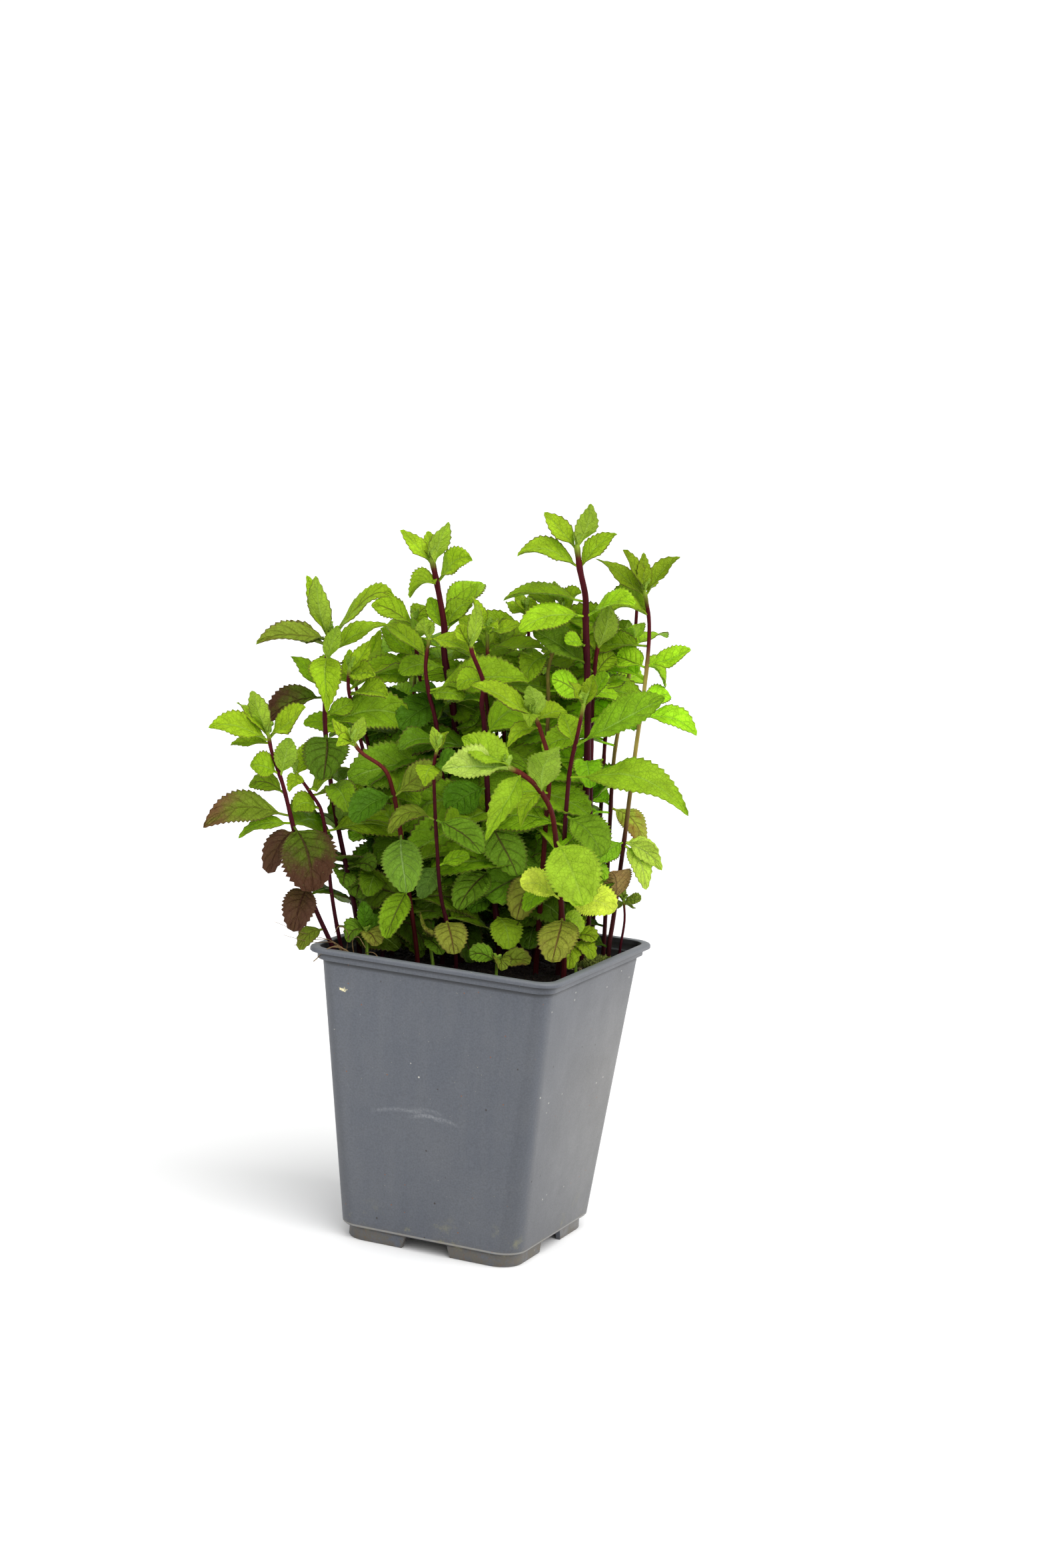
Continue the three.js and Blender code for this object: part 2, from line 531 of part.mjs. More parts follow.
// The further leaves: each turns its own way between two headings in degrees, and from the top
// of the stem down they get longer, broader, more arched and more drooping
function furtherLeaf(height, top, key, headings) {
  const heading = THREE.MathUtils.degToRad(THREE.MathUtils.lerp(...headings, chance(key)));
  const age = Math.min(1, (top - height) / FURTHER_SPAN);
  const grown = Math.min(1, age * 2.5);
  const length = THREE.MathUtils.lerp(14, 24, grown) - 4 * age;
  return [height, length * Math.cos(heading), length * Math.sin(heading), THREE.MathUtils.lerp(9, -8, age),
    length * THREE.MathUtils.lerp(0.42, 0.58, age), THREE.MathUtils.lerp(3, 7, age)];
}

// The ways that a leaf may be bent clear of its neighbours, the least bend first
function bends() {
  const ways = [];
  for (const size of [1, 0.86, 0.72]) {
    for (const lift of [0, 3, -3, 6, -6]) {
      for (const turn of [0, 7, -7, 14, -14, 22, -22, 32, -32, 44, -44]) {
        ways.push({ size, lift, turn });
      }
    }
  }
  return ways;
}

function bentLeaf(leaf, way) {
  const tip = leaf.tip.clone().applyAxisAngle(UP, THREE.MathUtils.degToRad(way.turn));
  tip.z += way.lift;
  tip.multiplyScalar(way.size);
  return { ...leaf, tip, width: leaf.width * way.size, arch: leaf.arch * way.size };
}

// The midrib: an arch from the stem to the tip
function midribAt(leaf, t) {
  const point = leaf.tip.clone().multiplyScalar(t);
  point.z += 2 * leaf.arch * t * (1 - t);
  return point.add(leaf.root);
}

function levelAxes(leaf, t) {
  const along = leaf.tip.clone();
  along.z += 2 * leaf.arch * (1 - 2 * t);
  along.normalize();
  const heading = new THREE.Vector3(leaf.tip.x, leaf.tip.y, 0).normalize();
  const side = new THREE.Vector3().crossVectors(UP, heading);
  const face = new THREE.Vector3().crossVectors(along, side);
  return { along, side, face };
}

// How far a leaf twists on its stalk, in degrees: most of the way that faces it to the light,
// or that faces its underside there, where that is the shorter way
function lightRoll(leaf) {
  const { side, face } = levelAxes(leaf, 0.5);
  const across = -LIGHT.dot(side);
  const toward = LIGHT.dot(face);
  const full = THREE.MathUtils.radToDeg(Math.atan(across / toward));
  const pull = Math.min(1, 1.5 * Math.hypot(across, toward));
  return THREE.MathUtils.clamp(LIGHT_SHARE * full * pull, -ROLL_LIMIT, ROLL_LIMIT);
}

function leafAxes(leaf, t) {
  const { along, side, face } = levelAxes(leaf, t);
  const turn = leaf.roll * Math.min(1, t / ROLL_REACH);
  side.applyAxisAngle(along, turn);
  face.applyAxisAngle(along, turn);
  return { side, face };
}

// The blade's half width, from its base at 0 to its tip at 1
function halfWidth(leaf, q) {
  const swell = Math.sin(Math.PI * Math.pow(q, WIDEST_EARLY));
  return leaf.width / 2 * Math.pow(swell, leaf.isBroad ? BROAD_ROUND : NARROW_ROUND);
}

// The edge's points from base to tip, as [place along the blade, share of the half width]:
// a tooth is a point that stands out, with a notch close after it
const EDGES = {
  small: [[0.38, 1.08], [0.47, 0.84]],
  slim: [[0.2, 1], [0.5, 1.07], [0.58, 0.86]],
  middle: [[0.18, 1], [0.45, 1.07], [0.52, 0.87], [0.8, 1.08]],
  large: [[0.12, 1], [0.34, 1.05], [0.4, 0.9], [0.62, 1.07], [0.68, 0.87], [0.86, 1.05]],
};

function kindOf(width) {
  if (width >= LARGE_WIDTH) {
    return 'large';
  }
  if (width >= MIDDLE_WIDTH) {
    return 'middle';
  }
  return width >= SLIM_WIDTH ? 'slim' : 'small';
}

function leafGeometry(leaf) {
  const fold = Math.tan(THREE.MathUtils.degToRad(FOLD));
  const points = [];
  const addPair = (t, across) => {
    const { side, face } = leafAxes(leaf, t);
    const middle = midribAt(leaf, t)
      .addScaledVector(side, across)
      .addScaledVector(face, Math.abs(across) * fold);
    points.push(middle.clone().addScaledVector(face, BLADE_THICKNESS / 2));
    points.push(middle.clone().addScaledVector(face, -BLADE_THICKNESS / 2));
    return points.length / 2 - 1;
  };
  const bladeT = (q) => leaf.petiole + (1 - leaf.petiole) * q;
  const neck = PETIOLE_WIDTH / 2;

  const root = addPair(0, 0);
  const baseLeft = addPair(bladeT(0), neck);
  const baseRight = addPair(bladeT(0), -neck);
  const tip = addPair(1, 0);
  const ribs = [];
  for (let rib = 1; rib < leaf.ribs; rib++) {
    const q = rib / leaf.ribs;
    ribs.push({ q, index: addPair(bladeT(q), 0) });
  }
  const edges = [1, -1].map((hand) => EDGES[leaf.kind].map(([q, share]) => {
    const across = Math.max(neck, halfWidth(leaf, q) * share);
    return { q, index: addPair(bladeT(q), hand * across) };
  }));

  const tops = [[root, baseRight, baseLeft], [baseLeft, baseRight, ribs[0].index]];
  const bases = [baseLeft, baseRight];
  edges.forEach((edge, hand) => {
    const outer = [{ q: 0, index: bases[hand] }, ...edge, { q: 1, index: tip }];
    const inner = [...ribs, { q: 1, index: tip }];
    let o = 0;
    let i = 0;
    while (o + 1 < outer.length || i + 1 < inner.length) {
      const stepOuter = i + 1 >= inner.length || (o + 1 < outer.length && outer[o + 1].q <= inner[i + 1].q);
      const third = stepOuter ? outer[o + 1].index : inner[i + 1].index;
      const face = [inner[i].index, third, outer[o].index];
      if (new Set(face).size === 3) {
        tops.push(hand === 0 ? face : [face[0], face[2], face[1]]);
      }
      if (stepOuter) {
        o++;
      } else {
        i++;
      }
    }
  });

  const loop = [root, baseRight, ...edges[1].map((point) => point.index), tip,
    ...edges[0].map((point) => point.index).reverse(), baseLeft];
  const upper = (index) => 2 * index;
  const lower = (index) => (index === root ? 2 * index : 2 * index + 1);
  const faces = [];
  for (const [a, b, c] of tops) {
    faces.push([upper(a), upper(b), upper(c)], [lower(a), lower(c), lower(b)]);
  }
  loop.forEach((here, i) => {
    const next = loop[(i + 1) % loop.length];
    faces.push([lower(here), lower(next), upper(next)], [lower(here), upper(next), upper(here)]);
  });
  return geometryOf(points, faces.filter((face) => new Set(face).size === 3));
}

function leafOf(stem, curve, row, key) {
  const [height, right, back, up, width, arch] = row;
  const tip = placeOf([right, back, up]);
  const length = tip.length();
  const outward = new THREE.Vector3(tip.x, tip.y, 0).normalize();
  const root = pointAtHeight(curve, height).addScaledVector(outward, ROOT_SHIFT * stem.thick[1]);
  const top = stem.path[stem.path.length - 1][2];
  const isYoung = top - height < YOUNG_REACH;
  const roll = lightRoll({ tip, arch }) + LIGHT_SPREAD * (2 * chance(key + 0.5) - 1);
  return {
    root, tip, arch,
    width: width * FLAT_WIDTH,
    roll: THREE.MathUtils.degToRad(roll),
    isBroad: !isYoung && width / length > BROAD,
    petiole: isYoung ? YOUNG_PETIOLE : OLD_PETIOLE,
    kind: kindOf(width),
    ribs: width >= SLIM_WIDTH ? 3 : 2,
  };
}

// Growing the plant

function boxesMeet(a, b, gap) {
  return [0, 1, 2].every((axis) => a.min[axis] <= b.max[axis] + gap && b.min[axis] <= a.max[axis] + gap);
}

function isClear(solid, owner, placed) {
  const box = solid.boundingBox();
  return placed.every((other) => {
    if (!boxesMeet(box, other.box, LEAF_GAP)) {
      return true;
    }
    if (other.owner === owner) {
      return other.isStem || solid.intersect(other.solid).volume() < SAME_STEM_OVERLAP;
    }
    return solid.minGap(other.solid, 2 * LEAF_GAP) >= LEAF_GAP;
  });
}

function growPlant(pot) {
  const curves = STEMS.map(curveOf);
  const tubes = STEMS.map((stem, i) => stemTube(curves[i], stem.thick, 0));
  const holes = STEMS.map((stem, i) => stemTube(curves[i], stem.thick, HOLE_GAP));
  const soil = soilSolid(holes);

  const placed = [];
  const place = (solid, owner, isStem) => {
    placed.push({ solid, owner, isStem, box: solid.boundingBox() });
  };
  place(pot, -1, false);
  place(soil, -1, false);
  tubes.forEach((tube, i) => place(tube, i, true));

  // The leaves nearest the front are placed first, so that those behind them give way
  const leaves = [];
  STEMS.forEach((stem, i) => {
    const top = stem.path[stem.path.length - 1][2];
    const rows = [...stem.leaves];
    for (const [heights, headings] of [[stem.hidden, HIDDEN_HEADINGS], [stem.inner, INNER_HEADINGS]]) {
      for (const height of heights) {
        rows.push(furtherLeaf(height, top, i * KEY_STEP + rows.length, headings));
      }
    }
    rows.forEach((row, n) => {
      leaves.push({ owner: i, leaf: leafOf(stem, curves[i], row, i * KEY_STEP + n) });
    });
  });
  const depthOf = ({ leaf }) => leaf.root.dot(BACK) + leaf.tip.dot(BACK);
  leaves.sort((a, b) => depthOf(a) - depthOf(b));

  const ways = bends();
  const parts = STEMS.map((stem, i) => [tubes[i]]);
  for (const { owner, leaf } of leaves) {
    for (const way of ways) {
      const solid = solidOf(leafGeometry(bentLeaf(leaf, way)));
      if (isClear(solid, owner, placed)) {
        place(solid, owner, false);
        parts[owner].push(solid);
        break;
      }
    }
  }
  return { soil, stems: parts.map(fused) };
}

// One body: sealed hollows filled, loose scraps dropped
function fused(solids) {
  const pieces = wasm.Manifold.union(solids).decompose();
  pieces.sort((a, b) => b.volume() - a.volume());
  return pieces[0].simplify(SMOOTHING);
}

function meshOf(name, solid, paint) {
  const { vertProperties, triVerts } = solid.getMesh();
  const geometry = new THREE.BufferGeometry();
  geometry.setAttribute('position', new THREE.BufferAttribute(vertProperties, 3));
  geometry.setIndex(new THREE.BufferAttribute(triVerts, 1));
  geometry.computeVertexNormals();
  const mesh = new THREE.Mesh(geometry, new THREE.MeshStandardMaterial(paint));
  mesh.name = name;
  return mesh;
}

const group = new THREE.Group();
const pot = potSolid();
const { soil, stems } = growPlant(pot);
group.add(meshOf('pot', pot, PAINT.pot));
group.add(meshOf('soil', soil, PAINT.soil));
STEMS.forEach((stem, i) => {
  const paint = stem.name.startsWith('shoot') ? PAINT.shoot : PAINT.stem;
  group.add(meshOf(stem.name, stems[i], paint));
});

export default group;
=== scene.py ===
# A mint plant in a square nursery pot: the moulded pot, the potting soil in it with its moss,
# grit and dry roots, and the leafy stems that grow out of it. Metres, in the frame's own place.

import math

import bmesh
import bpy
import numpy as np
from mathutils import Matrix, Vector, kdtree, noise


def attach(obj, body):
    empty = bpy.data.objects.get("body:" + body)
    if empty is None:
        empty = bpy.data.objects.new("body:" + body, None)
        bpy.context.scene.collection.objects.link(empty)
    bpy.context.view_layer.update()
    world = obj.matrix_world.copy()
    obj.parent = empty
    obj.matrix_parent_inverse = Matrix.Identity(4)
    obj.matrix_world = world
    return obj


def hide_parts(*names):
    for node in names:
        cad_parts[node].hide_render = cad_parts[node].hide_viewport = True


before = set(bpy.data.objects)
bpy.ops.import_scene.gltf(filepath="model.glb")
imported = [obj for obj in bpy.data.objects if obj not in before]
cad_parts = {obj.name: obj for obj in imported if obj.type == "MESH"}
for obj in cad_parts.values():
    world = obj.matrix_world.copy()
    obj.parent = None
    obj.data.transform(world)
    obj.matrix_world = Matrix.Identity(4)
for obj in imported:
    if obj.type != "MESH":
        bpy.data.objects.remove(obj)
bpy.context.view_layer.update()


# The pot is one thin shell of grey polypropylene, moulded with a ledge under a rolled rim and
# four corner feet. It came off the mould satin, and it is now dusty, scuffed and splashed with
# soil at the bottom.

MM = 0.001
FOOT_HEIGHT = 5.7
FOOT_WIDTH = 77.2
FOOT_WALL = 2
FOOT_SUNK = 0.6
FOOT_ROUND = 0.4
FLOOR_TOP = 6.9
CORNER_BOTTOM = 10
CORNER_STEPS = 10
NOTCH_HALF = 9
NOTCH_FLARE = 2
DRAIN_RADIUS = 4
DRAIN_SPACING = 22
DRAIN_CUT = 0.01
# Width across the flats, corner radius and height of each edge that runs round the shell,
# from the floor's underside over the rim to the floor's top
POT_EDGES = [
    (78.0, 9.6, 5.7), (80.6, 10, 5.75), (81.6, 10, 6.4), (101.35, 7.5, 116.3), (101.4, 7.5, 116.6),
    (104.4, 7.5, 117.0), (104.8, 7.5, 117.3), (104.9, 7.5, 119.4), (105.2, 7.6, 119.7),
    (109.5, 8.5, 120.0), (110, 8.5, 120.3), (110, 8.5, 121.2), (109.5, 8.4, 121.75), (108.6, 8.3, 122),
    (103.8, 6.9, 122), (103.0, 6.6, 121.8), (102.8, 6.5, 121.2), (102.8, 6.5, 117.9),
    (102.4, 6.5, 117.6), (99.8, 6.5, 117.2), (99.4, 6.5, 116.8), (80.2, 9, 8.0), (79.0, 9, 7.0),
    (77.0, 8.6, 6.9),
]


def square_ring(width, corner, height, steps):
    """Points round a square with rounded corners, from the +X side anticlockwise, in metres."""
    points = []
    middle = width / 2 - corner
    for quarter in range(4):
        start = quarter * math.pi / 2
        for step in range(steps + 1):
            angle = start + step / steps * math.pi / 2
            x = middle * (math.cos(start) - math.sin(start)) + corner * math.cos(angle)
            y = middle * (math.sin(start) + math.cos(start)) + corner * math.sin(angle)
            points.append(Vector((x, y, height)) * MM)
    return points


def skin(mesh, rings):
    """Adds the closed skin over a row of rings to a bmesh."""
    rows = [[mesh.verts.new(point) for point in ring] for ring in rings]
    for lower, upper in zip(rows, rows[1:]):
        for i in range(len(lower)):
            j = (i + 1) % len(lower)
            mesh.faces.new((lower[i], lower[j], upper[j], upper[i]))
    mesh.faces.new(list(reversed(rows[0])))
    mesh.faces.new(rows[-1])


def piece_of(name, mesh, materials, smooth_below=40):
    """Makes an object of a bmesh, smooth where its faces meet at less than the given angle."""
    data = bpy.data.meshes.new(name)
    mesh.normal_update()
    for edge in mesh.edges:
        edge.smooth = len(edge.link_faces) == 2 and edge.calc_face_angle(0) < math.radians(smooth_below)
    for face in mesh.faces:
        face.smooth = True
    mesh.to_mesh(data)
    mesh.free()
    for material in materials:
        data.materials.append(material)
    piece = bpy.data.objects.new(name, data)
    bpy.context.scene.collection.objects.link(piece)
    return piece


def corner_foot(mesh, turn):
    """Adds one corner foot, an L-shaped wall whose ends lean back towards the notches."""
    rows = []
    for height, reach in ((0, NOTCH_HALF + NOTCH_FLARE), (0.5, NOTCH_HALF + NOTCH_FLARE - 0.15),
                          (FOOT_HEIGHT + FOOT_SUNK, NOTCH_HALF)):
        inset = 0 if height else FOOT_ROUND
        loop = []
        for wall, way in ((inset, 1), (FOOT_WALL - inset, -1)):
            half = FOOT_WIDTH / 2 - wall
            radius = CORNER_BOTTOM - wall
            middle = half - radius
            points = [(half, reach)]
            for step in range(CORNER_STEPS + 1):
                angle = step / CORNER_STEPS * math.pi / 2
                points.append((middle + radius * math.cos(angle), middle + radius * math.sin(angle)))
            points.append((reach, half))
            loop += points[::way]
        c, s = math.cos(turn), math.sin(turn)
        rows.append([Vector((c * x - s * y, s * x + c * y, height)) * MM for x, y in loop])
    skin(mesh, rows)


def linear(code, alpha=1.0):
    """The linear colour of an sRGB hex value."""
    values = [int(code[i:i + 2], 16) / 255 for i in (1, 3, 5)]
    return (*(v / 12.92 if v <= 0.04045 else ((v + 0.055) / 1.055) ** 2.4 for v in values), alpha)


def add(tree, kind, settings=None, links=None, out=0):
    """Adds a node with its settings and its inputs' values or links, and gives its output socket."""
    node = tree.nodes.new(kind)
    for name, value in (settings or {}).items():
        setattr(node, name, value)
    for key, value in (links or {}).items():
        for one in value if isinstance(value, list) else [value]:
            if isinstance(one, bpy.types.NodeSocket):
                tree.links.new(one, node.inputs[key])
            else:
                node.inputs[key].default_value = one
    return node.outputs[out] if node.outputs and out is not None else node


def new_material(name):
    """An empty material and its node tree."""
    material = bpy.data.materials.new(name)
    material.use_nodes = True
    material.node_tree.nodes.clear()
    return material, material.node_tree


# Polypropylene, injection moulded: an even blue-grey with a satin skin, IOR 1.49. Clouds of dust
# lie on it, 20 to 60 mm across, with fine streaks where water ran down, pale and brown specks
# under 1 mm, faint scratches on the front face and dried soil along the foot.
pot_plastic, tree = new_material("polypropylene_moulded_dusty")
place = add(tree, "ShaderNodeTexCoord", out="Object")
across = add(tree, "ShaderNodeMapping", {}, {"Vector": place, "Scale": (1, 1, 0.12)})
clouds = add(tree, "ShaderNodeTexNoise", {},
             {"Vector": place, "Scale": 34, "Detail": 6, "Roughness": 0.6})
streaks = add(tree, "ShaderNodeTexNoise", {},
              {"Vector": across, "Scale": 150, "Detail": 4, "Roughness": 0.6})
grain = add(tree, "ShaderNodeTexNoise", {}, {"Vector": place, "Scale": 1400, "Detail": 2})
dust = add(tree, "ShaderNodeMapRange", {}, {"Value": clouds, "From Min": 0.42, "From Max": 0.72})
veil = add(tree, "ShaderNodeMapRange", {},
           {"Value": streaks, "From Min": 0.45, "From Max": 0.75, "To Max": 0.22})
color = add(tree, "ShaderNodeMix", {"data_type": "RGBA"},
            {0: dust, 6: linear("#50545c"), 7: linear("#585b61")}, 2)
color = add(tree, "ShaderNodeMix", {"data_type": "RGBA"}, {0: veil, 6: color, 7: linear("#66686b")}, 2)
x, y, z = (add(tree, "ShaderNodeSeparateXYZ", {}, {0: place}, axis) for axis in range(3))
# Painted light: the side that faces the lamp is painted lighter and warmer, most at its far edge and
# below the rim. Painted shade: the corner before it is painted darker, and the front darkens towards it
normal = add(tree, "ShaderNodeNewGeometry", out="Normal")
facing = add(tree, "ShaderNodeSeparateXYZ", {}, {0: normal})
lit_side = add(tree, "ShaderNodeMapRange", {"interpolation_type": "SMOOTHSTEP"},
               {"Value": facing, "From Min": 0.8, "From Max": 1.0, "To Max": 0.75})
for span, limits in ((y, (-0.045, 0.035, 0.3)), (z, (0.118, 0.07, 0.35))):
    far_on = add(tree, "ShaderNodeMapRange", {},
                 {"Value": span, "From Min": limits[0], "From Max": limits[1], "To Min": limits[2]})
    lit_side = add(tree, "ShaderNodeMath", {"operation": "MULTIPLY"}, {0: lit_side, 1: far_on})
color = add(tree, "ShaderNodeMix", {"data_type": "RGBA"},
            {0: lit_side, 6: color, 7: linear("#767471")}, 2)
# Painted shade: the corners are darker, and the front darkens towards the right-hand corner
corner = add(tree, "ShaderNodeMath", {"operation": "PINGPONG"}, {0: facing, 1: 0.5})
corner = add(tree, "ShaderNodeMapRange", {"interpolation_type": "SMOOTHSTEP"},
             {"Value": corner, "From Min": 0.02, "From Max": 0.4, "To Min": 1, "To Max": 0.84})
front_shade = add(tree, "ShaderNodeMapRange", {},
               {"Value": x, "From Min": -0.04, "From Max": 0.045, "To Min": 1.01, "To Max": 0.93})
shade = add(tree, "ShaderNodeMapRange", {},
            {"Value": grain, "From Min": 0.3, "From Max": 0.7, "To Min": 0.88, "To Max": 1.11})
for factor in (corner, front_shade, shade):
    color = add(tree, "ShaderNodeVectorMath", {"operation": "SCALE"}, {0: color, "Scale": factor})
# Marks, painted light and painted shade that lie on top, each as its share and its colour
coats = []
# The rim's top is painted lighter: a painted highlight where light falls on it from above
rim_highlight = add(tree, "ShaderNodeMapRange", {},
             {"Value": z, "From Min": 0.121, "From Max": 0.1221, "To Max": 0.4})
coats.append((rim_highlight, "#8b8e91"))
# Painted shade: dark lines in the corners under the lip, under the ledge and over the feet
for low, full, high in ((0.1148, 0.1160, 0.1168), (0.1181, 0.1193, 0.1201), (0.0044, 0.0052, 0.0058)):
    rise = add(tree, "ShaderNodeMapRange", {},
               {"Value": z, "From Min": low, "From Max": full, "To Max": 0.85})
    below = add(tree, "ShaderNodeMath", {"operation": "LESS_THAN"}, {0: z, 1: high})
    crevice_shade = add(tree, "ShaderNodeMath", {"operation": "MULTIPLY"}, {0: rise, 1: below})
    coats.append((crevice_shade, "#25272a"))
# Specks: the middles of a few cells, each cell 3 to 4 mm wide
for size, share, code in ((260, 0.07, "#b9b7ad"), (230, 0.09, "#2c241c"), (330, 0.08, "#7a4a26")):
    cells = add(tree, "ShaderNodeTexVoronoi", {}, {"Vector": place, "Scale": size}, None)
    pick = add(tree, "ShaderNodeSeparateColor", {}, {0: cells.outputs["Color"]})
    few = add(tree, "ShaderNodeMath", {"operation": "LESS_THAN"}, {0: pick, 1: share})
    spot = add(tree, "ShaderNodeMapRange", {},
               {"Value": cells.outputs["Distance"], "From Min": 0.06, "From Max": 0.13, "To Min": 0.85,
                "To Max": 0})
    speck = add(tree, "ShaderNodeMath", {"operation": "MULTIPLY"}, {0: few, 1: spot})
    coats.append((speck, code))
# A limy splash near the left corner: its place, its reach, and the grain that breaks it up
offset = add(tree, "ShaderNodeVectorMath", {"operation": "SUBTRACT"},
             {0: place, 1: (-0.0385, -0.0505, 0.1058)})
offset = add(tree, "ShaderNodeVectorMath", {"operation": "DIVIDE"},
             {0: offset, 1: (0.0024, 0.01, 0.0016)})
far = add(tree, "ShaderNodeVectorMath", {"operation": "LENGTH"}, {0: offset}, 1)
near = add(tree, "ShaderNodeMapRange", {},
           {"Value": far, "From Min": 0.3, "From Max": 1, "To Min": 1, "To Max": 0})
rough = add(tree, "ShaderNodeTexNoise", {},
            {"Vector": place, "Scale": 900, "Detail": 5, "Roughness": 0.75})
mark = add(tree, "ShaderNodeMath", {"operation": "MULTIPLY_ADD"}, {0: near, 1: 0.3, 2: rough})
mark = add(tree, "ShaderNodeMapRange", {},
           {"Value": mark, "From Min": 0.68, "From Max": 0.78, "To Max": 0.9})
coats.append((mark, "#efe3b4"))
# Three long faint scratches that sag across the front face: middle, height, half length, sag
front = add(tree, "ShaderNodeMath", {"operation": "LESS_THAN"}, {0: y, 1: -0.04})
chalk = add(tree, "ShaderNodeMapRange", {}, {"Value": rough, "From Min": 0.38, "From Max": 0.62})
chalk = add(tree, "ShaderNodeMath", {"operation": "MULTIPLY"}, {0: chalk, 1: front})
for middle, level, half, sag, strength in ((-0.008, 0.0598, 0.018, 0.0035, 0.2),
                                           (0.003, 0.0588, 0.012, 0.0022, 0.2),
                                           (0.0, 0.0612, 0.008, 0.001, 0.12)):
    run = add(tree, "ShaderNodeMapRange", {"clamp": False},
              {"Value": x, "From Min": middle, "From Max": middle + half})
    square = add(tree, "ShaderNodeMath", {"operation": "MULTIPLY"}, {0: run, 1: run})
    drop = add(tree, "ShaderNodeMath", {"operation": "MULTIPLY_ADD"}, {0: square, 1: -sag, 2: level})
    off = add(tree, "ShaderNodeMath", {"operation": "SUBTRACT"}, {0: z, 1: drop})
    off = add(tree, "ShaderNodeMath", {"operation": "ABSOLUTE"}, {0: off})
    line = add(tree, "ShaderNodeMapRange", {},
               {"Value": off, "From Min": 0.0002, "From Max": 0.0011, "To Min": strength, "To Max": 0})
    ends = add(tree, "ShaderNodeMapRange", {},
               {"Value": square, "From Min": 0.4, "From Max": 1, "To Min": 1, "To Max": 0})
    line = add(tree, "ShaderNodeMath", {"operation": "MULTIPLY"}, {0: line, 1: ends})
    line = add(tree, "ShaderNodeMath", {"operation": "MULTIPLY"}, {0: line, 1: chalk})
    coats.append((line, "#b4b7ba"))
# Inside, where the wall faces the middle of the pot, it is painted nearly black: painted shade inside
# the pot
flat_place = add(tree, "ShaderNodeVectorMath", {"operation": "MULTIPLY"}, {0: place, 1: (1, 1, 0)})
outward = add(tree, "ShaderNodeVectorMath", {"operation": "DOT_PRODUCT"}, {0: flat_place, 1: normal}, 1)
inner = add(tree, "ShaderNodeMapRange", {},
            {"Value": outward, "From Min": -0.01, "From Max": -0.03, "To Max": 0.85})
coats.append((inner, "#1d1a18"))
# A pale line along the edge over the feet, broken into patches: a painted highlight with scuffs.
# Dried soil and algae from the foot up to 16 mm, and rusty crumbs
patches = add(tree, "ShaderNodeTexNoise", {},
              {"Vector": place, "Scale": 130, "Detail": 6, "Roughness": 0.7})
scuffs_and_highlight = add(tree, "ShaderNodeMath", {"operation": "COMPARE"}, {0: z, 1: 0.0065, 2: 0.0004})
scuffs_and_highlight = add(tree, "ShaderNodeMath", {"operation": "MULTIPLY"}, {0: scuffs_and_highlight, 1: patches})
coats.append((scuffs_and_highlight, "#a9a79f"))
for pattern, top, least, most, code in ((patches, 0.02, 0.56, 0.7, "#7f7d60"),
                                        (patches, 0.0085, 0.4, 0.6, "#58503f"),
                                        (rough, 0.011, 0.58, 0.8, "#6d3f24")):
    low = add(tree, "ShaderNodeMapRange", {},
              {"Value": z, "From Min": top * 0.4, "From Max": top, "To Min": most, "To Max": 0})
    soiled = add(tree, "ShaderNodeMapRange", {},
                 {"Value": pattern, "From Min": least, "From Max": least + 0.12})
    soiled = add(tree, "ShaderNodeMath", {"operation": "MULTIPLY"}, {0: soiled, 1: low})
    coats.append((soiled, code))
for share, code in coats:
    color = add(tree, "ShaderNodeMix", {"data_type": "RGBA"}, {0: share, 6: color, 7: linear(code)}, 2)
roughness = add(tree, "ShaderNodeMapRange", {},
                {"Value": clouds, "From Min": 0.35, "From Max": 0.7, "To Min": 0.42, "To Max": 0.6})
waves = add(tree, "ShaderNodeTexNoise", {}, {"Vector": place, "Scale": 60, "Detail": 2})
bump = add(tree, "ShaderNodeBump", {}, {"Strength": 0.25, "Distance": 0.0012, "Height": waves})
bump = add(tree, "ShaderNodeBump", {},
           {"Strength": 0.25, "Distance": 0.0001, "Height": grain, "Normal": bump})
shader = add(tree, "ShaderNodeBsdfPrincipled", {},
             {"Base Color": color, "Roughness": roughness, "Normal": bump, "IOR": 1.49,
              "Specular IOR Level": 0.45})
add(tree, "ShaderNodeOutputMaterial", {}, {"Surface": shader})

mesh = bmesh.new()
skin(mesh, [square_ring(width, corner, height, CORNER_STEPS) for width, corner, height in POT_EDGES])
shell = piece_of("pot_shell", mesh, [pot_plastic])
mesh = bmesh.new()
for column, row in ((0, 0), (1, 0), (-1, 0), (0, 1), (0, -1)):
    hole = bmesh.ops.create_cone(mesh, cap_ends=True, segments=28, radius1=DRAIN_RADIUS * MM,
                                 radius2=DRAIN_RADIUS * MM, depth=DRAIN_CUT)
    bmesh.ops.translate(mesh, verts=hole["verts"],
                        vec=(column * DRAIN_SPACING * MM, row * DRAIN_SPACING * MM, FLOOR_TOP * MM))
drains = piece_of("drain_cutter", mesh, [pot_plastic])
cut = shell.modifiers.new("drains", "BOOLEAN")
cut.object = drains
cut.solver = "EXACT"
bpy.context.view_layer.update()
drilled = bpy.data.meshes.new_from_object(shell.evaluated_get(bpy.context.evaluated_depsgraph_get()))
mesh = bmesh.new()
mesh.from_mesh(drilled)
for quarter in range(4):
    corner_foot(mesh, quarter * math.pi / 2)
pot = piece_of("moulded_pot", mesh, [pot_plastic])
for spare in (shell, drains):
    bpy.data.objects.remove(spare)
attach(pot, "root")
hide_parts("pot")


# The potting soil is peat compost: it fills the pot to 10 mm below the rim, dark and crumbly,
# heaped a little at the right, with loose crumbs of peat and bark on top.

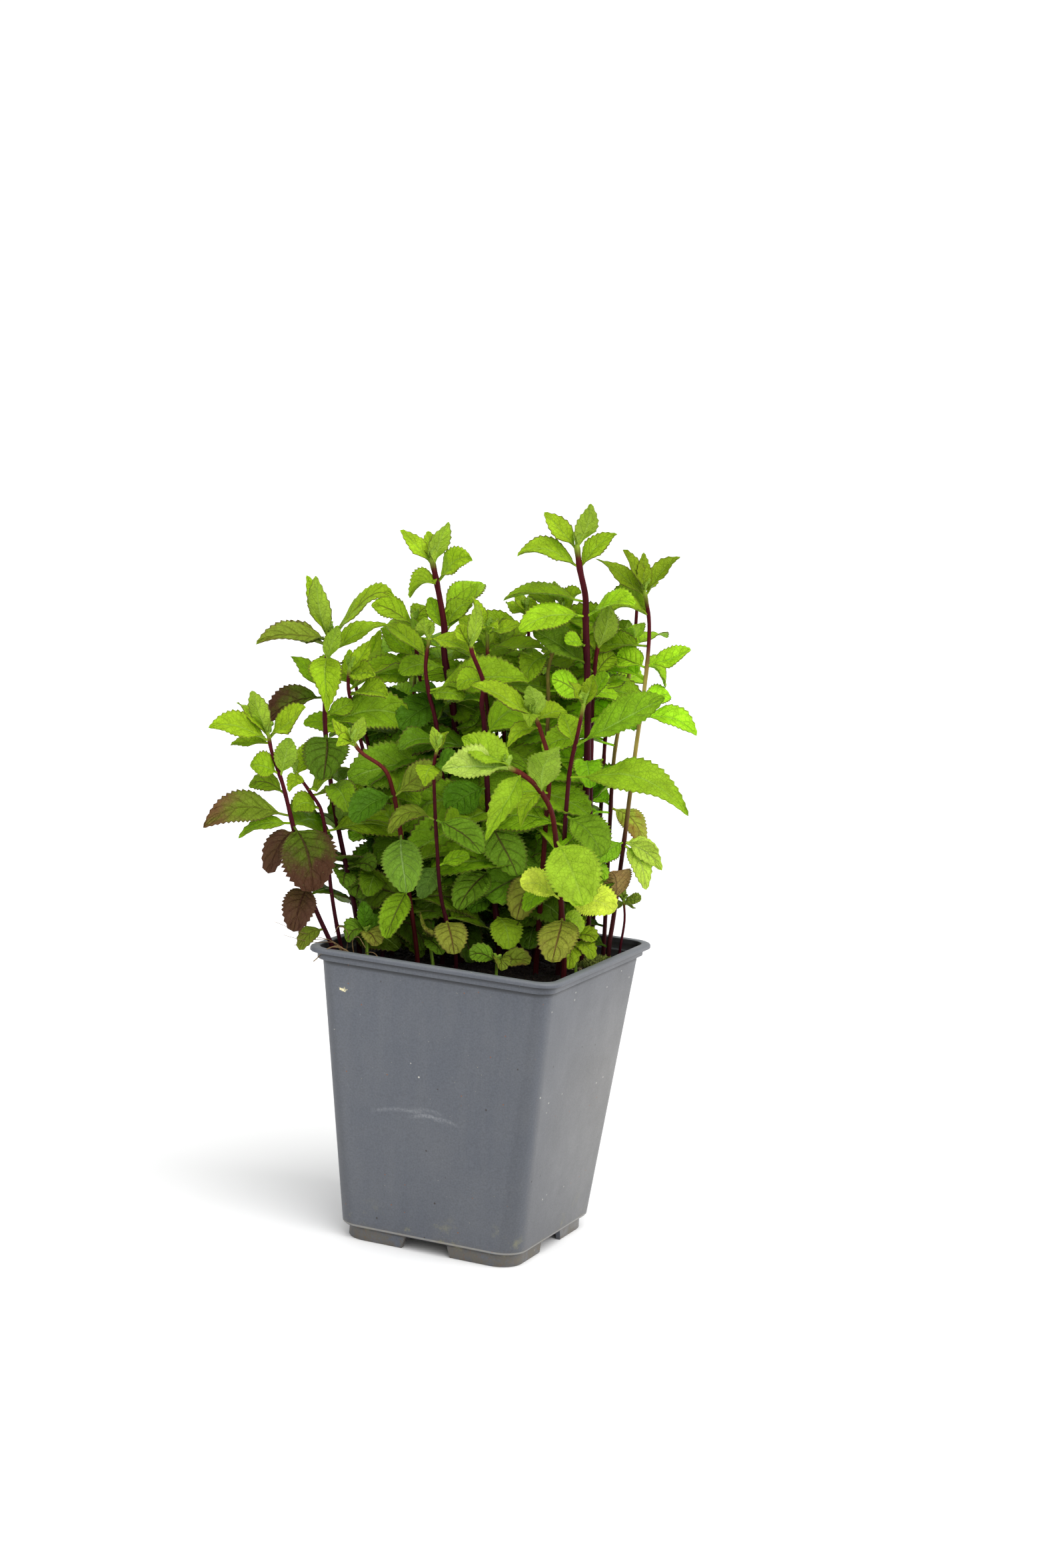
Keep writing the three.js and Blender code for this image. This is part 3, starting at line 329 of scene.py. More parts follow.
SOIL_LEVEL = 112
SOIL_SHOULDER = 109
SOIL_WIDTH = 97.8
SOIL_CORNER = 6.5
SOIL_FOOT = (78.8, 8.5, 7.3)
SOIL_CORNER_STEPS = 12
SOIL_RING_POINTS = 132
SOIL_RINGS = 42
HEAP_PLACE = (40, 20)
HEAP_HEIGHT = 5
HEAP_SPREAD = 9


def soil_height(x, y):
    """The height of the soil's top, in millimetres."""
    ripple = 0.9 * math.sin(0.21 * x + 1) * math.cos(0.17 * y)
    away = math.hypot(x - HEAP_PLACE[0], y - HEAP_PLACE[1]) / HEAP_SPREAD
    clods = 1.1 * noise.fractal(Vector((x, y, 3)) * 0.16, 0.9, 2.1, 4)
    return SOIL_LEVEL + ripple + HEAP_HEIGHT * math.exp(-away * away / 2) + clods


# Peat compost: nearly black brown, dull, with fibres and crumbs from 0.3 to 2 mm, some of them
# lighter bark.
peat, tree = new_material("peat_compost")
place = add(tree, "ShaderNodeTexCoord", out="Object")
crumbs = add(tree, "ShaderNodeTexNoise", {},
             {"Vector": place, "Scale": 900, "Detail": 5, "Roughness": 0.7})
patches = add(tree, "ShaderNodeTexNoise", {}, {"Vector": place, "Scale": 120, "Detail": 4})
color = add(tree, "ShaderNodeMix", {"data_type": "RGBA"},
            {0: patches, 6: linear("#0d0908"), 7: linear("#221913")}, 2)
bark = add(tree, "ShaderNodeMapRange", {},
           {"Value": crumbs, "From Min": 0.6, "From Max": 0.72, "To Max": 0.7})
color = add(tree, "ShaderNodeMix", {"data_type": "RGBA"}, {0: bark, 6: color, 7: linear("#5a4330")}, 2)
bump = add(tree, "ShaderNodeBump", {}, {"Strength": 0.8, "Distance": 0.0008, "Height": crumbs})
shader = add(tree, "ShaderNodeBsdfPrincipled", {},
             {"Base Color": color, "Roughness": 0.95, "Normal": bump, "Specular IOR Level": 0.2})
add(tree, "ShaderNodeOutputMaterial", {}, {"Surface": shader})


def soil_ring(width, corner, height):
    """A rounded square ring like the pot's, with its points spread evenly along it."""
    ring = square_ring(width, corner, height, SOIL_CORNER_STEPS)
    loop = np.array([*ring, ring[0]])
    run = np.concatenate([[0], np.cumsum(np.linalg.norm(np.diff(loop, axis=0), axis=1))])
    places = np.linspace(0, run[-1], SOIL_RING_POINTS, endpoint=False)
    return [Vector([np.interp(place, run, loop[:, axis]) for axis in range(3)]) for place in places]


mesh = bmesh.new()
rings = [soil_ring(*SOIL_FOOT), soil_ring(SOIL_WIDTH, SOIL_CORNER, SOIL_SHOULDER)]
for share in np.linspace(1, 0.02, SOIL_RINGS):
    ring = soil_ring(SOIL_WIDTH * share, SOIL_CORNER * share, 0)
    for point in ring:
        point.z = soil_height(point.x / MM, point.y / MM) * MM
    rings.append(ring)
skin(mesh, rings)
soil = piece_of("potting_soil", mesh, [peat], 80)
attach(soil, "root")
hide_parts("soil")


# Loose crumbs of peat and bark lie all over the soil. At the right, grit and low cushion moss
# have settled on the heap that came with the cutting.

BARE_EDGE = 1.5
BARE_BELOW = 109.5
CRUMB_RADIUS = 0.0009
MOSS_PLACE = (41, 22)


def new_tree(name, sizes):
    """A Geometry Nodes tree with a geometry in and out and inputs given as (kind, usual value)."""
    tree = bpy.data.node_groups.new(name, "GeometryNodeTree")
    tree.interface.new_socket("Geometry", in_out="INPUT", socket_type="NodeSocketGeometry")
    for label, (kind, value) in sizes.items():
        socket = tree.interface.new_socket(label, in_out="INPUT", socket_type=kind)
        if value is not None:
            socket.default_value = value
    tree.interface.new_socket("Geometry", in_out="OUTPUT", socket_type="NodeSocketGeometry")
    start = add(tree, "NodeGroupInput", out=None)
    return tree, {output.name: output for output in start.outputs}


def grown(name, data, tree, values):
    """Puts a mesh through a tree with values at its named inputs and gives the plain result."""
    base = bpy.data.objects.new(name + "_base", data)
    bpy.context.scene.collection.objects.link(base)
    growth = base.modifiers.new("growth", "NODES")
    growth.node_group = tree
    for item in tree.interface.items_tree:
        if item.in_out == "INPUT" and item.name in values:
            growth[item.identifier] = values[item.name]
    bpy.context.view_layer.update()
    made = bpy.data.meshes.new_from_object(base.evaluated_get(bpy.context.evaluated_depsgraph_get()))
    bpy.data.objects.remove(base)
    made.name = name
    piece = bpy.data.objects.new(name, made)
    bpy.context.scene.collection.objects.link(piece)
    return piece


def loose_shape(name, mesh):
    """A spare object for a tree to repeat, kept out of the scene."""
    data = bpy.data.meshes.new(name)
    mesh.to_mesh(data)
    mesh.free()
    return bpy.data.objects.new(name, data)


scatter, given = new_tree("scatter_on_soil", {
    "Shape": ("NodeSocketObject", None), "Seed": ("NodeSocketInt", 1),
    "Per square metre": ("NodeSocketFloat", 1e5), "Smallest": ("NodeSocketFloat", 0.4),
    "Largest": ("NodeSocketFloat", 1.4), "Lean": ("NodeSocketFloat", 3.14),
    "Material": ("NodeSocketMaterial", None)})
spots = add(scatter, "GeometryNodeDistributePointsOnFaces", {},
            {"Mesh": given["Geometry"], "Density": given["Per square metre"], "Seed": given["Seed"]})
shape = add(scatter, "GeometryNodeObjectInfo", {}, {"Object": given["Shape"]}, None).outputs["Geometry"]
below = add(scatter, "ShaderNodeMath", {"operation": "MULTIPLY"}, {0: given["Lean"], 1: -1.0})
low = add(scatter, "ShaderNodeCombineXYZ", {}, {0: below, 1: below, 2: -3.14})
high = add(scatter, "ShaderNodeCombineXYZ", {}, {0: given["Lean"], 1: given["Lean"], 2: 3.14})
turn = add(scatter, "FunctionNodeRandomValue", {"data_type": "FLOAT_VECTOR"},
           {0: low, 1: high, "Seed": 5})
turn = add(scatter, "FunctionNodeEulerToRotation", {}, {0: turn})
size = add(scatter, "FunctionNodeRandomValue", {"data_type": "FLOAT"},
           {2: given["Smallest"], 3: given["Largest"], "Seed": 6}, 1)
pieces = add(scatter, "GeometryNodeInstanceOnPoints", {},
             {"Points": spots, "Instance": shape, "Rotation": turn, "Scale": size})
real = add(scatter, "GeometryNodeRealizeInstances", {}, {"Geometry": pieces})
painted = add(scatter, "GeometryNodeSetMaterial", {}, {"Geometry": real, "Material": given["Material"]})
add(scatter, "NodeGroupOutput", {}, {"Geometry": painted}, None)


def soil_patch(centre, reach):
    """The soil's top within a reach of a place, in millimetres, as a mesh to scatter on."""
    mesh = bmesh.new()
    mesh.from_mesh(soil.data)
    edge = SOIL_WIDTH / 2 - BARE_EDGE
    away = [face for face in mesh.faces
            if face.normal.z < 0.3 or face.calc_center_median().z < BARE_BELOW * MM
            or max(abs(value) for value in face.calc_center_median().xy) > edge * MM
            or (face.calc_center_median().xy / MM - Vector(centre)).length > reach]
    bmesh.ops.delete(mesh, geom=away, context="FACES")
    data = bpy.data.meshes.new("soil_patch")
    mesh.to_mesh(data)
    mesh.free()
    return data


mesh = bmesh.new()
bmesh.ops.create_icosphere(mesh, subdivisions=1, radius=CRUMB_RADIUS)
for vertex in mesh.verts:
    vertex.co *= 1 + 0.45 * noise.noise(vertex.co * 4000)
crumb = loose_shape("crumb", mesh)
crumbs = grown("loose_peat_crumbs", soil_patch((0, 0), 80), scatter,
               {"Shape": crumb, "Material": peat, "Seed": 3, "Per square metre": 170000.0,
                "Smallest": 0.35, "Largest": 1.5})
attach(crumbs, "root")

# River grit and bark bits: grey-brown to tan, 0.5 to 2 mm, each bit its own shade.
grit, tree = new_material("grit_and_bark")
place = add(tree, "ShaderNodeTexCoord", out="Object")
cells = add(tree, "ShaderNodeTexVoronoi", {}, {"Vector": place, "Scale": 420}, 1)
pick = add(tree, "ShaderNodeSeparateColor", {}, {0: cells})
color = add(tree, "ShaderNodeMix", {"data_type": "RGBA"},
            {0: pick, 6: linear("#54452f"), 7: linear("#9a8a63")}, 2)
grain = add(tree, "ShaderNodeTexNoise", {}, {"Vector": place, "Scale": 2200, "Detail": 3})
bump = add(tree, "ShaderNodeBump", {}, {"Strength": 0.5, "Distance": 0.0003, "Height": grain})
shader = add(tree, "ShaderNodeBsdfPrincipled", {},
             {"Base Color": color, "Roughness": 0.85, "Normal": bump, "Specular IOR Level": 0.3})
add(tree, "ShaderNodeOutputMaterial", {}, {"Surface": shader})
stones = grown("grit_on_heap", soil_patch(HEAP_PLACE, 11), scatter,
               {"Shape": crumb, "Material": grit, "Seed": 8, "Per square metre": 900000.0,
                "Smallest": 0.35, "Largest": 1.05})
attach(stones, "root")

# Cushion moss: dull olive green shoots 2 to 3 mm long, each a tapered spray of fine leaves.
moss_green, tree = new_material("cushion_moss")
place = add(tree, "ShaderNodeTexCoord", out="Object")
patches = add(tree, "ShaderNodeTexNoise", {}, {"Vector": place, "Scale": 420, "Detail": 4})
patches = add(tree, "ShaderNodeMapRange", {}, {"Value": patches, "From Min": 0.35, "From Max": 0.65})
color = add(tree, "ShaderNodeMix", {"data_type": "RGBA"},
            {0: patches, 6: linear("#3c4a17"), 7: linear("#8b9440")}, 2)
shader = add(tree, "ShaderNodeBsdfPrincipled", {},
             {"Base Color": color, "Roughness": 0.85, "Specular IOR Level": 0.25})
add(tree, "ShaderNodeOutputMaterial", {}, {"Surface": shader})
mesh = bmesh.new()
for frond in range(6):
    heading = frond * 2.4
    out = Vector((math.cos(heading), math.sin(heading), 0))
    flat = Vector((-out.y, out.x, 0)) * 0.00022
    root = mesh.verts.new((0, 0, 0.0002 * frond))
    tip = mesh.verts.new(out * 0.0009 + Vector((0, 0, 0.001 + 0.00025 * frond)))
    middle = out * 0.0004 + Vector((0, 0, 0.0004 + 0.0002 * frond))
    sides = [mesh.verts.new(middle + off) for off in (flat, -flat, -out * 0.0002)]
    for i in range(3):
        mesh.faces.new((root, sides[i], sides[(i + 1) % 3]))
        mesh.faces.new((tip, sides[(i + 1) % 3], sides[i]))
bmesh.ops.recalc_face_normals(mesh, faces=mesh.faces)
tuft = loose_shape("moss_tuft", mesh)
moss = grown("moss_on_heap", soil_patch(MOSS_PLACE, 10), scatter,
             {"Shape": tuft, "Material": moss_green, "Seed": 11, "Per square metre": 1500000.0,
              "Smallest": 0.7, "Largest": 1.5, "Lean": 0.7})
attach(moss, "root")
for spare in (crumb, tuft):
    bpy.data.objects.remove(spare)


# The plant: mint sends up square, dark red-purple stems with its leaves in opposite pairs. Each
# stem grows with its leaves out of the soil as one piece. Leaves that would touch another stem
# are bent aside, and the frame's solids tell how far.

# Each stem: its thickness at the foot and at the top, the points [right, back, height] that it
# passes, and its leaves as [height on the stem, then how far the leaf's tip lies to the right,
# back and up from there, the blade's width, how far the leaf arches above the straight line, and
# a letter for a leaf of its own colour]. "hidden" gives the heights of further leaves that grow
# towards the back of the plant, and "inner" of those that grow among the stems, to the front.
STEMS = [
    {"name": "stem_left_low", "thick": [2.8, 1.8],
     "path": [[-55, -19, 108], [-61, -20, 121], [-71, -22, 142], [-79, -24, 169], [-84, -25, 186],
      [-89, -26, 199], [-91, -26, 207]],
     "leaves": [[206, -7, -4, 18, 8, 2], [206, -13, 4, 12, 8, 2], [204, -23, -11, 5, 13, 5],
      [203, -16, 7, -3, 7, 2], [205, 14, -5, 14, 12, 4], [191, -11, -5, 3, 11, 3],
      [190, 3, -3, 16, 9, 0], [183, -15, 6, 1, 8, 4], [174, -33, -13, -5, 14, 9, "b"],
      [171, -20, -9, -6, 8, 5], [168, -7, -8, -17, 11, 10, "p"], [170, 10, -12, -24, 22, 8, "r"],
      [145, -4, -8, -17, 13, 8, "p"], [141, -4, 4, -13, 6, 4, "p"], [128, -9, -6, -8, 7, 5, "o"]],
     "hidden": [160]},
    {"name": "stem_left_inner", "thick": [2.4, 1.6],
     "path": [[-53, -12, 108], [-58, -12, 120], [-63, -14, 142], [-68, -14, 172], [-74, -12, 182],
      [-81, -10, 190]],
     "leaves": [[189, 3, 3, 13, 10, 0], [189, -2, -4, -7, 7, 3], [183, 9, -4, 6, 8, 2],
      [176, -10, -6, -1, 10, 4]],
     "hidden": [150]},
    {"name": "stem_left_high", "thick": [2.7, 1.8],
     "path": [[-50, -6, 108], [-52, -8, 128], [-58, -8, 152], [-65, -6, 179], [-70, -4, 208],
      [-71, -2, 230], [-71, 0, 246]],
     "leaves": [[244, -13, 4, 24, 8, 2], [244, -6, -2, 25, 9, 0], [243, -31, -4, -2, 14, 9, "o"],
      [241, -24, -9, 2, 12, 5, "o"], [236, 2, -11, -21, 14, 9], [242, 29, 3, 21, 14, 14],
      [235, 4, -6, 15, 7, 0], [220, -22, -3, -11, 13, 8, "r"], [222, -15, 6, 13, 8, 2],
      [212, 10, 6, 6, 8, 2], [205, 1, -12, -17, 18, 7, "v"], [169, 4, -6, 10, 8, 2],
      [149, -10, -9, -11, 14, 6, "v"], [151, 14, -5, 2, 9, 4, "v"]],
     "hidden": [228, 190], "inner": [185]},
    {"name": "stem_left_arch", "thick": [2.6, 1.7],
     "path": [[-42, 0, 108], [-42, 1, 125], [-49, 4, 186], [-53, 4, 194], [-59, 4, 213], [-62, 4, 224],
      [-62, 4, 232]],
     "leaves": [[232, -4, -2, 21, 11, 0], [228, 11, -7, 2, 10, 3], [221, 16, -9, 1, 13, 3],
      [230, 8, 4, 13, 7, 0]],
     "hidden": [170], "inner": [206, 150]},
    {"name": "stem_left_back", "thick": [2.5, 1.6],
     "path": [[-38, 14, 108], [-39, 14, 125], [-45, 18, 179], [-50, 20, 187], [-58, 24, 214],
      [-61, 26, 225]],
     "leaves": [[223, 12, 8, 22, 8, 0], [222, -11, 6, 4, 10, 3], [214, 10, 8, -3, 11, 4],
      [223, -3, 3, 14, 8, 0]],
     "hidden": [196, 165]},
    {"name": "stem_left_tall", "thick": [3, 2],
     "path": [[-10, 12, 108], [-10, 12, 125], [-17, 18, 203], [-24, 20, 237], [-25, 20, 250],
      [-29, 20, 267], [-32, 20, 278]],
     "leaves": [[275, -14, 2, 13, 8, 1], [277, -5, 6, 11, 7, 0], [275, 5, -2, 18, 8, 0],
      [268, 14, -5, 10, 13, 4], [268, -10, -5, -7, 13, 9], [248, -7, 5, 13, 7, 1],
      [249, 10, 4, 11, 10, 3], [247, 13, 9, 21, 8, 0], [233, -18, -10, -3, 12, 4],
      [220, -20, -14, -12, 15, 5, "d"], [218, -17, -16, 6, 10, 2, "d"], [232, 9, -12, -5, 12, 4],
      [207, 8, -10, 5, 12, 4]],
     "hidden": [236, 215], "inner": [190, 160]},
    {"name": "stem_left_bow", "thick": [2.3, 1.7],
     "path": [[-26, -14, 108], [-27, -15, 121], [-32, -18, 147], [-36, -22, 169], [-40, -26, 187],
      [-44, -28, 196], [-53, -30, 202], [-57, -31, 207]],
     "leaves": [[206, -9, 2, 9, 6, 0], [206, 3, -2, 11, 6, 0], [205, -7, -6, 0, 6, 2],
      [185, -15, -10, -10, 13, 6, "d"], [185, 18, -4, 10, 13, 4, "o"], [169, 4, -9, -22, 16, 7, "h"],
      [146, -7, -9, -19, 12, 6]]},
    {"name": "stem_middle_left", "thick": [2.7, 1.8],
     "path": [[-23, 22, 108], [-23, 22, 125], [-25, 26, 176], [-31, 28, 215], [-35, 30, 231],
      [-38, 30, 251]],
     "leaves": [[248, -18, -4, 8, 14, 4], [234, -16, 4, 12, 10, 2], [249, 6, 5, 7, 9, 2],
      [231, -23, -6, -2, 12, 4, "f"], [218, -25, -8, -9, 15, 5, "d"], [210, -25, -4, -11, 13, 5, "d"],
      [204, -18, -8, -16, 15, 7, "d"]],
     "hidden": [236, 196], "inner": [180, 150]},
    {"name": "stem_middle_left_front", "thick": [2.5, 1.7],
     "path": [[-17, 4, 108], [-17, 4, 125], [-20, 4, 177], [-25, 2, 210], [-29, 2, 224], [-31, 2, 235],
      [-30, 2, 248]],
     "leaves": [[246, 19, -8, -5, 12, 5], [237, -8, -7, -3, 12, 6], [246, -2, -4, 9, 8, 0],
      [224, 14, -8, -1, 12, 4]],
     "hidden": [180], "inner": [205, 155]},
    {"name": "stem_middle", "thick": [3.2, 1.7],
     "path": [[6, -5, 108], [6, -5, 125], [1, -6, 155], [-5, -8, 210], [-7, -8, 222], [-7, -8, 231],
      [-12, -8, 242], [-13, -8, 246]],
     "leaves": [[245, 1, -2, 18, 6, 0], [244, -6, 4, 9, 8, 2], [231, -10, 3, -4, 10, 3],
      [188, -15, -3, -10, 16, 5, "d"], [176, 13, -14, -21, 17, 6, "v"],
      [154, -12, -12, -15, 14, 7, "v"], [141, -10, -4, -4, 9, 4, "d"], [135, 6, -12, -11, 13, 6, "f"]]},
    {"name": "stem_middle_twin", "thick": [2.6, 1.6],
     "path": [[6, 4, 108], [6, 4, 125], [3, 5, 145], [0, 6, 187], [-4, 8, 214], [-6, 9, 225],
      [-6, 10, 235], [-7, 10, 251]],
     "leaves": [[250, -7, -3, 14, 9, 0], [249, 14, -4, 5, 8, 2], [250, 4, -9, 2, 9, 4],
      [248, -12, 5, 5, 9, 3], [235, 8, 8, -9, 11, 4]],
     "hidden": [200, 165], "inner": [178]},
    {"name": "stem_middle_back", "thick": [2.5, 1.6],
     "path": [[9, 20, 108], [9, 20, 125], [4, 24, 179], [1, 26, 234], [-1, 26, 245]],
     "leaves": [[244, 0, -3, 11, 8, 0], [242, 9, 4, 10, 9, 2], [242, -8, 5, 3, 9, 2],
      [231, 11, -6, -6, 11, 4]],
     "hidden": [222, 185]},
    {"name": "stem_back_thin", "thick": [2.4, 1.4],
     "path": [[14, 34, 108], [14, 34, 125], [8, 36, 177], [9, 38, 222], [10, 40, 245], [8, 40, 258]],
     "leaves": [[256, -6, -2, 9, 6, 0], [256, 2, 2, 8, 6, 0], [255, -9, 5, 4, 7, 1],
      [245, 8, -5, -10, 12, 4], [222, 13, 6, -6, 12, 4]],
     "hidden": [236, 205]},
    {"name": "stem_right_olive", "thick": [2.5, 1.5],
     "path": [[21, 14, 108], [21, 14, 125], [21, 12, 168], [20, 12, 220], [19, 14, 236], [22, 16, 250],
      [22, 16, 264]],
     "leaves": [[263, -3, -2, 9, 6, 0], [263, 3, 3, 9, 6, 0], [261, -15, 4, 8, 9, 2],
      [260, 8, -5, 8, 11, 3], [241, -10, -6, -11, 12, 5]],
     "hidden": [228, 200], "inner": [180, 152]},
    {"name": "stem_right_tall", "thick": [3.1, 2.1],
     "path": [[40, 2, 108], [40, 2, 125], [38, 4, 184], [36, 5, 223], [33, 6, 255], [32, 6, 267],
      [29, 6, 278], [27, 6, 288]],
     "leaves": [[287, 4, -2, 18, 9, 0], [286, -14, 2, 14, 9, 1], [279, 14, 4, 14, 10, 2],
      [279, -25, -6, 3, 13, 7], [259, 22, 4, 7, 12, 7], [259, -26, -10, -7, 15, 10],
      [247, -8, -7, 1, 9, 2], [225, -15, -4, 8, 13, 3], [225, 7, -4, 12, 9, 0]],
     "hidden": [240], "inner": [200, 166]},
    {"name": "stem_right_mate", "thick": [2.6, 1.8],
     "path": [[43, 12, 108], [43, 12, 125], [40, 12, 183], [38, 12, 222], [38, 10, 241], [39, 10, 249]],
     "leaves": [[246, 3, -6, 19, 10, 1], [245, -5, 6, 10, 9, 1], [236, -26, -10, 16, 17, 4, "g"],
      [234, 8, 6, 9, 9, 2]],
     "hidden": [228], "inner": [206, 158]},
    {"name": "stem_right_high", "thick": [2.6, 1.8],
     "path": [[52, 15, 108], [52, 15, 122], [53, 15, 134], [55, 13, 166], [57, 12, 204], [59, 12, 234],
      [59, 12, 256], [56, 12, 271]],
     "leaves": [[270, -10, -4, 17, 8, 0], [270, -1, 2, 16, 8, 0], [268, -21, 3, 14, 8, 2],
      [269, 13, 4, 16, 8, 2], [261, 20, -4, 13, 13, 3], [261, -17, -4, -2, 11, 7],
      [240, 17, -3, 8, 10, 1], [240, 8, 8, -9, 14, 4], [239, -12, 6, 3, 12, 3],
      [219, 23, -4, -6, 11, 5], [223, 11, 6, 5, 9, 2], [166, 15, 3, -5, 7, 3, "s"],
      [166, 16, -4, -10, 8, 5, "s"], [165, 10, -7, -17, 10, 6, "s"], [166, -13, -4, -7, 10, 3],
      [141, -7, -9, 14, 14, 3, "k"]]},
    {"name": "stem_right_inner", "thick": [2.4, 1.6],
     "path": [[50, 24, 108], [50, 24, 125], [49, 26, 173], [49, 28, 201], [52, 30, 226], [54, 32, 250],
      [54, 33, 269]],
     "leaves": [[267, -8, 5, 12, 7, 0], [267, 7, 6, 13, 7, 0], [250, -10, -5, -10, 11, 6],
      [248, -2, -7, 6, 10, 2], [178, 14, -7, -14, 15, 7, "m"], [179, -8, 4, 4, 8, 2]],
     "hidden": [246, 215]},
    {"name": "stem_right_back", "thick": [2.4, 1.6],
     "path": [[45, 28, 108], [45, 28, 125], [45, 31, 176], [45, 34, 190], [45, 36, 208], [47, 40, 230],
      [47, 42, 248]],
     "leaves": [[246, -8, 4, 10, 8, 1], [246, 4, -4, 10, 8, 2], [225, -5, -7, -6, 11, 4],
      [228, 12, 22, 3, 12, 4]],
     "hidden": [236, 205]},
    {"name": "stem_front_bow", "thick": [3.3, 2.6],
     "path": [[33, -24, 108], [33, -24, 122], [30, -27, 148], [26, -31, 174], [23, -36, 186],
      [17, -41, 195], [11, -45, 200], [5, -48, 203]],
     "leaves": [[202, -27, -7, -1, 17, 4, "l"], [202, -20, 3, 11, 15, 3, "f"],
      [200, -12, -9, -26, 12, 9, "f"], [193, 6, -6, 19, 14, 1, "f"], [192, -7, -6, -13, 8, 5],
      [191, 9, 5, -14, 11, 5], [172, 12, -13, -23, 22, 8, "y"], [148, 21, -9, -2, 15, 5, "Y"],
      [148, -16, -10, 6, 12, 4, "Y"], [140, -3, -16, -15, 16, 8, "w"], [140, 8, 5, -6, 9, 4, "y"]]},
    {"name": "stem_front_right", "thick": [2.6, 1.8],
     "path": [[31, -12, 108], [31, -12, 125], [30, -14, 159], [30, -17, 196], [32, -19, 212],
      [34, -20, 227]],
     "leaves": [[209, 25, -8, 17, 18, 4, "F"], [196, 47, -29, -8, 17, 12, "f"],
      [180, 15, -10, -14, 18, 5, "g"], [209, -6, 6, 12, 12, 2], [225, 3, 3, 13, 8, 0],
      [226, -7, -4, 10, 8, 0]],
     "inner": [150]},
    {"name": "stem_yellow_top", "thick": [3.2, 2],
     "path": [[22, -4, 108], [22, -5, 125], [22, -8, 154], [22, -10, 179], [22, -12, 199],
      [18, -14, 212], [14, -15, 221]],
     "leaves": [[219, -3, -2, 13, 9, 0, "y"], [219, -2, -9, -3, 8, 5, "y"], [217, -27, -7, 14, 15, 3],
      [215, -12, -7, -8, 7, 3], [218, 15, 5, 2, 11, 3], [154, -9, -12, -17, 14, 7, "w"]],
     "inner": [188]},
    {"name": "stem_front_left", "thick": [2, 1.5],
     "path": [[-11, -20, 108], [-11, -20, 121], [-18, -24, 144], [-21, -27, 166], [-23, -30, 185],
      [-24, -32, 199], [-23, -33, 207]],
     "leaves": [[205, -2, -1, 10, 5, 0], [205, 4, 2, 8, 5, 0], [200, -15, 3, 9, 7, 1, "o"],
      [199, -3, -9, -7, 11, 4], [199, 10, -4, 4, 11, 3, "d"], [177, -18, -5, -6, 10, 11, "o"],
      [177, 19, -9, -11, 15, 5, "v"], [158, -6, 5, -15, 9, 5, "d"], [158, 12, 4, 4, 8, 3],
      [135, 4, -12, -11, 13, 6, "w"]]},
    {"name": "stem_back_left", "thick": [2.6, 1.6],
     "path": [[-24, 36, 108], [-24, 36, 125], [-32, 42, 170], [-36, 46, 205], [-37, 47, 228]],
     "leaves": [[227, -5, 7, 12, 8, 0], [227, 5, -6, 12, 8, 0], [225, -11, -5, 6, 10, 3],
      [225, 10, 6, 6, 10, 3]],
     "hidden": [214, 194, 172, 146]},
    {"name": "stem_back_middle", "thick": [2.6, 1.6],
     "path": [[4, 44, 108], [4, 44, 125], [1, 49, 170], [-1, 52, 205], [-2, 53, 232]],
     "leaves": [[231, 5, 8, 13, 8, 0], [231, -5, -6, 12, 8, 0], [229, 10, -6, 6, 10, 3],
      [229, -11, 6, 6, 10, 3]],
     "hidden": [218, 198, 176, 150]},
    {"name": "stem_back_right", "thick": [2.6, 1.6],
     "path": [[30, 35, 108], [30, 35, 125], [27, 41, 170], [26, 45, 205], [26, 47, 236]],
     "leaves": [[235, 5, 8, 13, 8, 0], [235, -5, -6, 12, 8, 0], [233, 9, -7, 6, 10, 3],
      [233, -10, 7, 6, 10, 3]],
     "hidden": [222, 202, 178]},
    {"name": "shoot_left", "thick": [2, 1.4],
     "path": [[-46, -15, 106], [-47, -16, 118], [-48, -18, 128]],
     "leaves": [[127, -6, -4, -4, 11, 6, "v"], [127, 5, -6, -4, 10, 5, "w"],
      [127, -2, 0, 13, 7, 0, "d"], [126, 7, 4, 5, 8, 3, "d"]]},
    {"name": "shoot_middle", "thick": [2, 1.4],
     "path": [[-19, -8, 106], [-21, -9, 118], [-23, -10, 126]],
     "leaves": [[125, -9, -6, 1, 12, 4, "w"], [124, 6, -8, -4, 9, 4, "v"], [124, 12, 4, -1, 10, 5, "v"],
      [125, -5, 8, 6, 9, 3, "d"]]},
    {"name": "shoot_front", "thick": [2, 1.4],
     "path": [[6, -23, 106], [6, -24, 116], [6, -25, 121]],
     "leaves": [[120, 13, -4, 1, 9, 4, "o"], [120, -11, -2, 2, 9, 3, "v"], [120, 2, -7, -2, 8, 5, "o"]]},
    {"name": "shoot_right", "thick": [2, 1.4],
     "path": [[39, -9, 106], [38, -9, 118], [36, -9, 130]],
     "leaves": [[129, 9, -4, 0, 9, 4], [127, 8, -8, -5, 8, 6], [127, -7, -9, -9, 9, 6],
      [129, 2, 7, 7, 8, 2]]},
    {"name": "shoot_right_back", "thick": [1.4, 1.1],
     "path": [[56, 22, 106], [57, 23, 120], [58, 24, 131], [57, 24, 140]],
     "leaves": [[139, 7, -2, 2, 5, 1, "s"], [139, -5, -3, -4, 5, 1, "s"], [138, 4, 5, -2, 5, 1, "s"],
      [139, -2, 2, 6, 4, 0, "s"]]},
]
